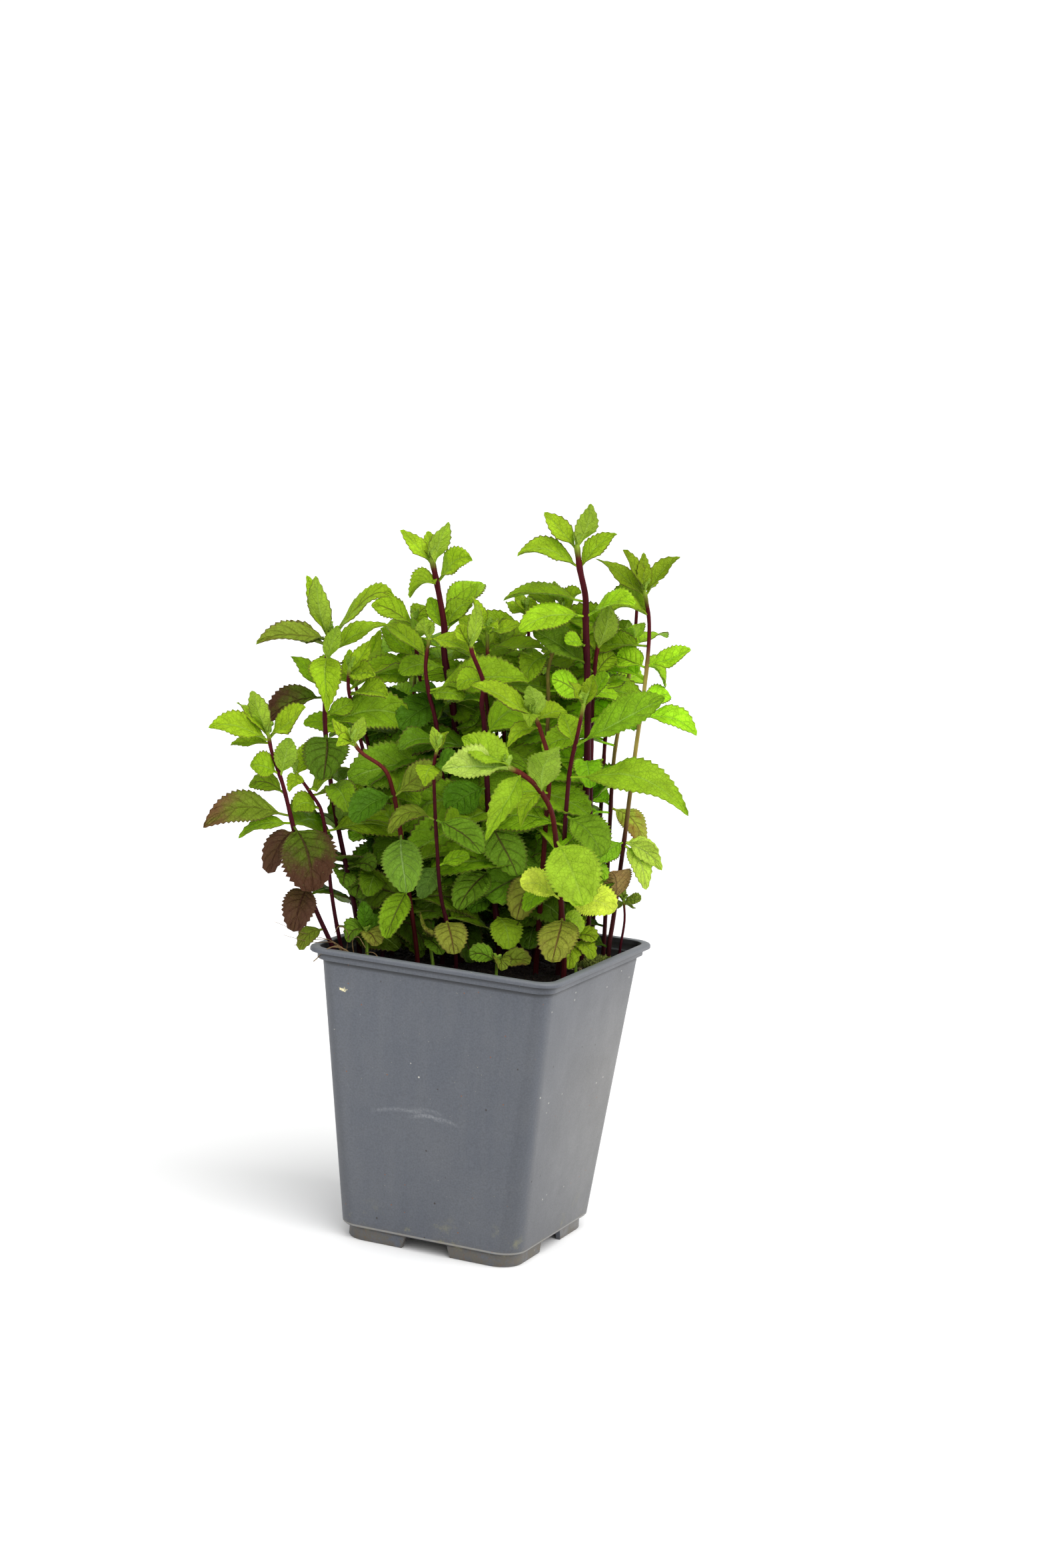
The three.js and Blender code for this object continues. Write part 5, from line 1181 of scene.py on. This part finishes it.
# The thin purple-brown edge
edge = add(tree, "ShaderNodeMapRange", {}, {"Value": aside, "From Min": 0.88, "From Max": 0.97})
edge = add(tree, "ShaderNodeMath", {"operation": "MULTIPLY"}, {0: edge, 1: rimmed})
edge = add(tree, "ShaderNodeMath", {"operation": "MULTIPLY"}, {0: edge, 1: on_blade})
color = add(tree, "ShaderNodeMix", {"data_type": "RGBA"}, {0: edge, 6: color, 7: linear("#5a3b2c")}, 2)
# The underside is paler and greyer
under = add(tree, "ShaderNodeMapRange", {},
            {"Value": thick, "From Min": -0.0001, "From Max": 0.0001, "To Min": 0.2, "To Max": 0.0})
color = add(tree, "ShaderNodeMix", {"data_type": "RGBA"}, {0: under, 6: color, 7: linear("#a3bd6a")}, 2)
sunk = add(tree, "ShaderNodeMath", {"operation": "MULTIPLY"}, {0: veins, 1: vein_strength})
height = add(tree, "ShaderNodeMath", {"operation": "MULTIPLY_ADD"}, {0: net, 1: 0.3, 2: sunk})
height = add(tree, "ShaderNodeMath", {"operation": "MULTIPLY"}, {0: height, 1: -1.0})
bump = add(tree, "ShaderNodeBump", {}, {"Strength": 0.8, "Distance": 0.0006, "Height": height})
down = add(tree, "ShaderNodeTexNoise", {}, {"Vector": flat, "Scale": 2600, "Detail": 2})
bump = add(tree, "ShaderNodeBump", {},
           {"Strength": 0.3, "Distance": 0.00008, "Height": down, "Normal": bump})
roughness = add(tree, "ShaderNodeMapRange", {}, {"Value": clouds, "To Min": 0.36, "To Max": 0.5})
shader = add(tree, "ShaderNodeBsdfPrincipled", {},
             {"Base Color": color, "Roughness": roughness, "Normal": bump, "IOR": 1.42,
              "Specular IOR Level": 0.13})
through = add(tree, "ShaderNodeMix", {"data_type": "RGBA", "blend_type": "MULTIPLY"},
              {0: 1.0, 6: color, 7: linear("#f6ff9c")}, 2)
through = add(tree, "ShaderNodeBsdfTranslucent", {}, {"Color": through, "Normal": bump})
shader = add(tree, "ShaderNodeMixShader", {}, {0: 0.45, 1: shader, 2: through})
add(tree, "ShaderNodeOutputMaterial", {}, {"Surface": shader})

# A mint stem: square, ridged along its corners and set with short hairs, glossier than the
# leaves, IOR 1.45. Its skin is red-purple where light falls on it and green where it is young.
stem_skin, tree = new_material("mint_stem_skin")
bark = add(tree, "ShaderNodeAttribute", {"attribute_name": "bark"}, out="Color")
place = add(tree, "ShaderNodeTexCoord", out="Object")
drawn = add(tree, "ShaderNodeMapping", {}, {"Vector": place, "Scale": (1, 1, 0.08)})
fibres = add(tree, "ShaderNodeTexNoise", {}, {"Vector": drawn, "Scale": 1500, "Detail": 3})
patches = add(tree, "ShaderNodeTexNoise", {}, {"Vector": place, "Scale": 90, "Detail": 3})
color = bark
for pattern, darkest, lightest in ((fibres, 0.75, 1.3), (patches, 0.8, 1.2)):
    shade = add(tree, "ShaderNodeMapRange", {},
                {"Value": pattern, "From Min": 0.3, "From Max": 0.7, "To Min": darkest,
                 "To Max": lightest})
    color = add(tree, "ShaderNodeVectorMath", {"operation": "SCALE"}, {0: color, "Scale": shade})
bump = add(tree, "ShaderNodeBump", {}, {"Strength": 0.4, "Distance": 0.0001, "Height": fibres})
shader = add(tree, "ShaderNodeBsdfPrincipled", {},
             {"Base Color": color, "Roughness": 0.46, "Normal": bump, "IOR": 1.45,
              "Specular IOR Level": 0.06})
add(tree, "ShaderNodeOutputMaterial", {}, {"Surface": shader})

# Leaf colours by age from the top of a stem down, in sRGB
AGES = [(0, "#b0ce28"), (14, "#aace26"), (40, "#a2cb24"), (80, "#8fbc22"), (140, "#6e9c20")]
PURPLE, PALE_VEIN, BUD_GREEN = "#5a3138", "#c6dd8a", "#b4d648"
# Leaves of their own colour: blade, veins, blotch, how much blotch, edge, how much more at the tip.
# b to w are old or browned, y to f young and pale, h to s and d green, k and m rusty. l is also painted
# lighter, as painted light on a shaded leaf, and g darker, as painted shade
LETTERS = {
    "b": ("#9ab432", "#747c2a", "#7c5c3a", 0.06, 0.7, 0.68),
    "p": ("#7c6238", "#4a2224", "#5e4030", 0.42, 0.5, 0.25),
    "r": ("#728c22", "#4a2226", "#583a28", 0.24, 0.7, 0.6),
    "o": ("#93a832", "#7a7a2c", "#76552f", 0.12, 0.8, 0.3),
    "v": ("#7ea828", "#54282c", "#6f5a30", 0.10, 0.5, 0.12),
    "w": ("#9aa03a", "#6a3230", "#80603a", 0.18, 0.6, 0.2),
    "y": ("#a6c732", "#b4d054", "#b4cf48", 0.0, 0.25, 0.1),
    "Y": ("#d4e04e", "#dce874", "#d8e068", 0.0, 0.1, 0.1),
    # Painted light: l is lighter than its leaf, which lies in another leaf's shadow
    "l": ("#cee668", "#dceea8", "#b8cc5a", 0.0, 0.35, 0.1),
    "f": ("#a6c92c", "#b8da62", "#a0c432", 0.0, 0.3, 0.1),
    "h": ("#8cb83a", "#a4c470", "#8cb83a", 0.0, 0.35, 0.1),
    # Painted shade: g is darker, for leaves that lie in shade
    "g": ("#7a9e20", "#8fb040", "#7a9e20", 0.0, 0.3, 0.1),
    "F": ("#98c428", "#b0d65c", "#94c030", 0.0, 0.3, 0.1),
    "s": ("#b0c648", "#c6d67c", "#9aa04a", 0.02, 0.4, 0.1),
    "d": ("#5c8c18", "#6c982c", "#5c8c18", 0.0, 0.2, 0.0),
    "k": ("#ac8a54", "#84483a", "#a8664e", 0.36, 0.6, 0.2),
    "m": ("#a4b23c", "#8a6a3a", "#a4683a", 0.2, 0.5, 0.3),
}
# Letters of leaves whose veins hardly stand out
SMOOTH = "yYlf"
# Leaves left of the middle are painted a deeper green: painted shade where the plant shades itself
SHADE_DEPTH, SHADE_RIGHT, SHADE_HEIGHT, SHADE_WIDTH, SHADE_GREEN = 0.7, -26, 198, 22, "#4f8418"
# How deep under its stem's top a leaf is full grown, and how far up from the soil leaves redden
RIPE_DROP, RED_REACH = 50, 60
# The plant's half width, how much its right leaves are painted lighter and its left ones darker, as
# painted light from the lamp on the right, and how much darker its young leaves on the right are
HALF_WIDTH, RIGHT_LIGHTER, LEFT_DARKER, YOUNG_DARKER = 60, 0.42, 0.34, 0.3
# The depth of the shade among the stems, from this height at the foot up over this distance
INSIDE_SHADE, INSIDE_FOOT, INSIDE_RISE = 0.24, 120, 46
# Stem colours from the foot at 0 to the top at 1
BARKS = {"": ((0, "#1c060b"), (0.5, "#340b14"), (0.93, "#4a1219"), (1, "#7f9a30")),
         "red": ((0, "#2a0b0e"), (0.5, "#421212"), (0.93, "#56211c"), (1, "#84963a")),
         "olive": ((0, "#260a11"), (0.5, "#3c1818"), (0.63, "#8a7a3c"), (0.75, "#8f8040"),
                   (0.82, "#4a1219"), (0.94, "#4a1219"), (1, "#7f9a30")),
         "green": ((0, "#4a2e20"), (0.5, "#667f2e"), (1, "#8fb638"))}
STEM_BARKS = {"stem_front_bow": "red", "stem_left_bow": "red", "stem_yellow_top": "red",
              "stem_right_high": "olive", "stem_right_olive": "olive", "stem_right_inner": "olive",
              "shoot_right_back": ""}


def blend_hex(stops, place):
    """The linear colour at a place along a list of (place, hex) stops."""
    places = [stop[0] for stop in stops]
    colors = np.array([linear(stop[1]) for stop in stops])
    return [float(np.interp(place, places, colors[:, channel])) for channel in range(4)]


def mixed(one, other, share):
    return [mix(low, high, share) for low, high in zip(one, other)]


def colours_of(leaf):
    """Blade, vein and blotch colours, the marks and how much the veins stand out, of a leaf."""
    luck = [chance(leaf["key"] * 7.3 + n) for n in range(4)]
    if leaf["letter"]:
        blade_hex, vein_hex, spot_hex, spots, rim, at_tip = LETTERS[leaf["letter"]]
        blade_color = linear(blade_hex)
        vein_color, spot_color, marks = linear(vein_hex), linear(spot_hex), (spots, rim, at_tip)
        strength = 0.4 if leaf["letter"] in SMOOTH else 0.75
    else:
        # Painted shade: a deeper green for old leaves left of the middle
        middle = leaf["root"] + leaf["tip"] / 2
        across = (middle.dot(RIGHT) - SHADE_RIGHT) / SHADE_WIDTH
        above = (middle[2] - SHADE_HEIGHT) / SHADE_WIDTH
        deep = 0 if leaf["young"] else SHADE_DEPTH * math.exp(-across ** 2 - above ** 2)
        blade_color = mixed(blend_hex(AGES, leaf["drop"]), linear(SHADE_GREEN), deep)
        low = max(0, 1 - (leaf["height"] - SOIL_LEVEL) / RED_REACH)
        reddish = luck[1] < 0.1 + 0.6 * low
        vein_color = linear(PURPLE) if reddish else mixed(blade_color, linear(PALE_VEIN), 0.4)
        strength = 0.6 if reddish else 0.5
        spot_color = linear("#6a5232")
        marks = (0.06 + 0.14 * luck[2] * low, 0.45 + 0.4 * luck[3], 0.15 * low)
    steady = leaf["letter"] or leaf["young"]
    aside = leaf["root"].dot(RIGHT) / HALF_WIDTH
    value_shift = mix(0.9, 1.08, luck[0]) if steady else mix(0.8, 1.26, luck[0])
    ripe = min(1, leaf["drop"] / RIPE_DROP)
    # Painted light on the right leaves, painted shade on the left ones
    value_shift *= (1 + (RIGHT_LIGHTER if aside > 0 else LEFT_DARKER) * aside * ripe
                    - YOUNG_DARKER * max(0, aside) * (1 - ripe))
    if leaf["inside"]:
        value_shift *= mix(INSIDE_SHADE, 1, min(1, max(0, leaf["height"] - INSIDE_FOOT) / INSIDE_RISE))
    blade_color = [*(channel * value_shift for channel in blade_color[:3]), 1]
    return blade_color, vein_color, spot_color, marks, strength


# What the tree and the materials read at each point, with the value of a point that has no leaf
NONE, BLACK = (0, 0, 0), (0, 0, 0, 1)
POINT_VALUES = {"kind": -1, "radius": 0, "roll": 0, "broad": 0, "seed": 0, "vein_strength": 0.3,
                "tip": NONE, "side": NONE, "shape": NONE, "habit": (0.3, 0, 0), "bark": BLACK,
                "tint": BLACK, "vein_tint": BLACK, "spot_tint": BLACK, "marks": NONE}
# A stem swells at its first leaf pairs: how many leaves, the swelling's reach and its share
KNUCKLES, KNUCKLE_REACH, KNUCKLE_SHARE = 12, 1.6, 0.14
STEM_STEPS, SHOOT_STEPS = 60, 16


def stem_mesh(stem, number, leaves):
    """The path of a stem and the points of its leaves, with all that the tree reads."""
    shoot = stem["name"].startswith("shoot")
    steps = SHOOT_STEPS if shoot else STEM_STEPS
    line = [stem_point(stem, step / steps) for step in range(steps + 1)]
    barks = BARKS[STEM_BARKS.get(stem["name"], "green" if shoot else "")]
    points, layers = [], {key: [] for key in POINT_VALUES}

    def note(place, **known):
        points.append(place * MM)
        for key, values in layers.items():
            values.append(known.get(key, POINT_VALUES[key]))

    for step, place in enumerate(line):
        share = step / steps
        knuckle = sum(math.exp(-((place[2] - leaf["height"]) / KNUCKLE_REACH) ** 2)
                      for leaf in leaves[:KNUCKLES])
        thick = (mix(*stem["thick"], share) * GIRTH.get(stem["name"], 1)
                 * (1 + KNUCKLE_SHARE * min(1, knuckle)) * (0.6 if step == steps else 1))
        note(place, radius=thick * MM, bark=blend_hex(barks, share))
    names = list(SHAPES)
    for leaf in leaves:
        width = leaf["width"] / FLAT_WIDTH / (YOUNG_WIDTH if leaf["young"] else 1)
        ratio = width / np.linalg.norm(leaf["tip"])
        ripe = 1 if leaf["letter"] or shoot else min(1, leaf["drop"] / RIPE_DROP)
        broad = 0 if leaf["young"] and not shoot else min(1, max(0, (ratio - 0.4) / 0.15)) * ripe
        kind = next(kind for kind, least in LEAST_WIDTHS.items() if width >= least)
        tint, vein_tint, spot_tint, marks, strength = colours_of(leaf)
        luck = [2 * chance(leaf["key"] * 3.7 + n) - 1 for n in range(3)]
        fold = mix(0.55, 0.25, min(1, leaf["drop"] / FURTHER_SPAN)) + 0.28 * luck[0]
        loose = mix(1, 0.45, broad)
        flat_tip = leaf["tip"] * (1, 1, 0) / np.linalg.norm(leaf["tip"][:2])
        stalk = STALK_SHARE * (0.4 if leaf["young"] else 1)
        note(leaf["root"], kind=names.index(kind), roll=leaf["roll"], broad=broad,
             seed=leaf["key"] * 0.37, tip=leaf["tip"] * MM, side=np.cross(UP, flat_tip),
             shape=(leaf["arch"] * MM, width / 2 * MM, stalk),
             habit=(fold, loose * 0.45 * luck[1], loose * 0.75 * luck[2]), vein_strength=strength,
             tint=tint, vein_tint=vein_tint, spot_tint=spot_tint, marks=marks)
    # Two small leaves still folded round the bud at the top
    for way in (1, -1):
        tip = place_of((way * 1.6, -way * 0.8, 3 if shoot else 5.5))
        flat_tip = tip * (1, 1, 0) / np.linalg.norm(tip[:2])
        note(line[-1] - UP * 0.6, kind=names.index("small"), seed=number + way * 0.2, tip=tip * MM,
             side=np.cross(UP, flat_tip), shape=(0, 0.0016, 0.1), tint=linear(BUD_GREEN),
             vein_tint=linear(PALE_VEIN), spot_tint=linear(BUD_GREEN), marks=(0, 0.3, 0))

    data = bpy.data.meshes.new(stem["name"])
    data.from_pydata([tuple(point) for point in points], [(i, i + 1) for i in range(steps)], [])
    for key, values in layers.items():
        size = np.size(values[0])
        kind = {1: "FLOAT", 3: "FLOAT_VECTOR", 4: "FLOAT_COLOR"}[size]
        layer = data.attributes.new(key, kind, "POINT")
        field = {1: "value", 3: "vector", 4: "color"}[size]
        layer.data.foreach_set(field, np.array(values, np.float32).ravel())
    return data


leaf_shapes = {name: blade(name, *sizes) for name, sizes in SHAPES.items()}
shown = [first_leaves(stem, number) for number, stem in enumerate(STEMS)]
company = np.vstack([leaf_line(leaf) for leaves in shown for leaf in leaves])
taken = np.vstack([company] + [[stem_point(stem, step / STEM_STEPS) for step in range(STEM_STEPS + 1)]
                               for stem in STEMS])
for number, stem in enumerate(STEMS):
    leaves = shown[number]
    if stem["name"].startswith("stem"):
        more, taken = rest_of_leaves(stem, number, company, taken)
        leaves = leaves + more
    piece = grown("mint_" + stem["name"], stem_mesh(stem, number, leaves), growth,
                  {**leaf_shapes, **STEM_SIZES,
                   "Stem material": stem_skin, "Leaf material": leaf_tissue})
    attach(piece, "root")
    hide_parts(stem["name"])
for shape in leaf_shapes.values():
    bpy.data.objects.remove(shape)


# A tuft of dry grass and a few dead brown roots lie over the left corner of the rim, where the
# cutting's old root ball came to the surface: tubes a fraction of a millimetre thick.

STRAW_STEPS = 18
STRAW_WIGGLE = 0.35
# Each one's points [right, back, height], then its thickness at the foot and at the tip
STRAWS = [
    ([[-52, -22, 113], [-57, -24, 121.5], [-63, -26, 120.5], [-68, -29, 116.5]], 0.8, 0.4),
    ([[-50, -24, 113], [-54, -28, 121], [-60, -31, 122.8], [-65, -31, 119.5]], 0.6, 0.3),
    ([[-54, -18, 113], [-60, -20, 122.5], [-67, -22, 124], [-76, -25, 121]], 0.45, 0.2),
    ([[-55, -19, 114], [-61, -21, 123], [-70, -24, 126], [-84, -28, 131]], 0.4, 0.15),
    ([[-53, -20, 113], [-59, -22, 122.5], [-69, -25, 123.5], [-80, -29, 126]], 0.4, 0.15),
    ([[-51, -20, 113], [-53, -23, 124], [-50, -27, 127], [-47, -30, 123]], 0.5, 0.25),
    ([[-47, -24, 113], [-48, -28, 120], [-43, -34, 122.3], [-38, -39, 117]], 0.5, 0.25),
    ([[-56, -17, 113], [-55, -20, 126], [-58, -22, 130], [-60, -24, 127]], 0.5, 0.25),
]
# Dead grass and roots: dull, and mottled from dark brown to straw along their fibres.
straw_fibre, tree = new_material("dry_root_and_grass")
place = add(tree, "ShaderNodeTexCoord", out="Object")
fibres = add(tree, "ShaderNodeTexNoise", {}, {"Vector": place, "Scale": 700, "Detail": 4})
shade = add(tree, "ShaderNodeMapRange", {}, {"Value": fibres, "From Min": 0.3, "From Max": 0.7})
color = add(tree, "ShaderNodeMix", {"data_type": "RGBA"},
            {0: shade, 6: linear("#463524"), 7: linear("#927850")}, 2)
bump = add(tree, "ShaderNodeBump", {}, {"Strength": 0.5, "Distance": 0.0002, "Height": fibres})
shader = add(tree, "ShaderNodeBsdfPrincipled", {},
             {"Base Color": color, "Roughness": 0.8, "Normal": bump, "Specular IOR Level": 0.25})
add(tree, "ShaderNodeOutputMaterial", {}, {"Surface": shader})

straws, given = new_tree("straw", {
    "Sides": ("NodeSocketInt", 6), "Material": ("NodeSocketMaterial", None)})
thick = add(straws, "GeometryNodeInputNamedAttribute", {"data_type": "FLOAT"}, {"Name": "radius"})
path = add(straws, "GeometryNodeMeshToCurve", {}, {"Mesh": given["Geometry"]})
ring = add(straws, "GeometryNodeCurvePrimitiveCircle", {},
           {"Resolution": given["Sides"], "Radius": 1.0})
tube = add(straws, "GeometryNodeCurveToMesh", {},
           {"Curve": path, "Profile Curve": ring, "Scale": thick, "Fill Caps": True})
tube = add(straws, "GeometryNodeSetMaterial", {}, {"Geometry": tube, "Material": given["Material"]})
add(straws, "NodeGroupOutput", {}, {"Geometry": tube}, None)
points, radii, edges = [], [], []
for rows, foot, tip in STRAWS:
    for step in range(STRAW_STEPS + 1):
        if step:
            edges.append((len(points) - 1, len(points)))
        share = step / STRAW_STEPS
        wiggle = RIGHT * math.sin(9 * share + foot * 7) + UP * math.cos(7 * share + foot * 11)
        points.append((stem_point({"path": rows}, share) + wiggle * STRAW_WIGGLE * share) * MM)
        radii.append(mix(foot, tip, share) / 2 * MM)
data = bpy.data.meshes.new("straw_paths")
data.from_pydata([tuple(point) for point in points], edges, [])
data.attributes.new("radius", "FLOAT", "POINT").data.foreach_set("value", np.array(radii, np.float32))
straw = grown("dry_roots_and_grass", data, straws, {"Sides": 6, "Material": straw_fibre})
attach(straw, "root")


# The pot stands on a plain white floor in soft light from all round, with one large lamp to the
# right of the camera. The camera looks at one corner of the pot from a little above.

CAMERA_TURN, CAMERA_RISE, CAMERA_ROLL = (math.radians(angle) for angle in (23.41, 8.42, 3.80))
CAMERA_AWAY = Vector((23.9, 186.24, 1223.94)) * MM
LENS = 67.27
FLOOR_REACH = 40
LAMP_WAY = (0.66, -0.40, 0.78)

# Background paper: matt and nearly white, with a tooth too fine to see.
floor_paper, tree = new_material("white_background_paper")
place = add(tree, "ShaderNodeTexCoord", out="Object")
fibre = add(tree, "ShaderNodeTexNoise", {}, {"Vector": place, "Scale": 300, "Detail": 2})
bump = add(tree, "ShaderNodeBump", {}, {"Strength": 0.05, "Distance": 0.0002, "Height": fibre})
shader = add(tree, "ShaderNodeBsdfPrincipled", {},
             {"Base Color": linear("#fbfbfb"), "Roughness": 0.9, "Normal": bump,
              "Specular IOR Level": 0.1})
add(tree, "ShaderNodeOutputMaterial", {}, {"Surface": shader})
mesh = bmesh.new()
bmesh.ops.create_grid(mesh, x_segments=1, y_segments=1, size=FLOOR_REACH)
floor = piece_of("paper_floor", mesh, [floor_paper])

right = Vector((math.cos(CAMERA_TURN), math.sin(CAMERA_TURN), 0))
back = Vector((math.sin(CAMERA_TURN), -math.cos(CAMERA_TURN), 0)) * math.cos(CAMERA_RISE)
back.z = math.sin(CAMERA_RISE)
up = back.cross(right)
right, up = (right * math.cos(CAMERA_ROLL) + up * math.sin(CAMERA_ROLL),
             up * math.cos(CAMERA_ROLL) - right * math.sin(CAMERA_ROLL))
camera = bpy.data.objects.new("camera", bpy.data.cameras.new("camera"))
bpy.context.scene.collection.objects.link(camera)
camera.data.lens = LENS
camera.data.sensor_width = 36
camera.data.clip_start = 0.05
camera.data.clip_end = 50
turn = camera.matrix_world.copy()
for axis, way in enumerate((right, up, back)):
    for row in range(3):
        turn[row][axis] = way[row]
place = right * CAMERA_AWAY.x + up * CAMERA_AWAY.y + back * CAMERA_AWAY.z
for row in range(3):
    turn[row][3] = place[row]
camera.matrix_world = turn
bpy.context.scene.camera = camera

# A white room: its walls are bright up to eye level and its ceiling is dimmer
world = bpy.data.worlds.new("soft_white_room")
world.use_nodes = True
tree = world.node_tree
place = add(tree, "ShaderNodeTexCoord", out="Generated")
rise = add(tree, "ShaderNodeSeparateXYZ", {}, {0: place}, 2)
glow = add(tree, "ShaderNodeMapRange", {},
           {"Value": rise, "From Min": 0.14, "From Max": 0.3, "To Min": 1.12, "To Max": 0.72})
tree.links.new(glow, tree.nodes["Background"].inputs["Strength"])
tree.nodes["Background"].inputs["Color"].default_value = (1, 1, 1, 1)
bpy.context.scene.world = world
bpy.context.scene.view_settings.view_transform = "Standard"
lamp = bpy.data.lights.new("right_softbox", "SUN")
lamp.energy = 2.9
lamp.angle = math.radians(75)
holder = bpy.data.objects.new("right_softbox", lamp)
holder.rotation_euler = Vector(LAMP_WAY).to_track_quat("Z", "Y").to_euler()
bpy.context.scene.collection.objects.link(holder)
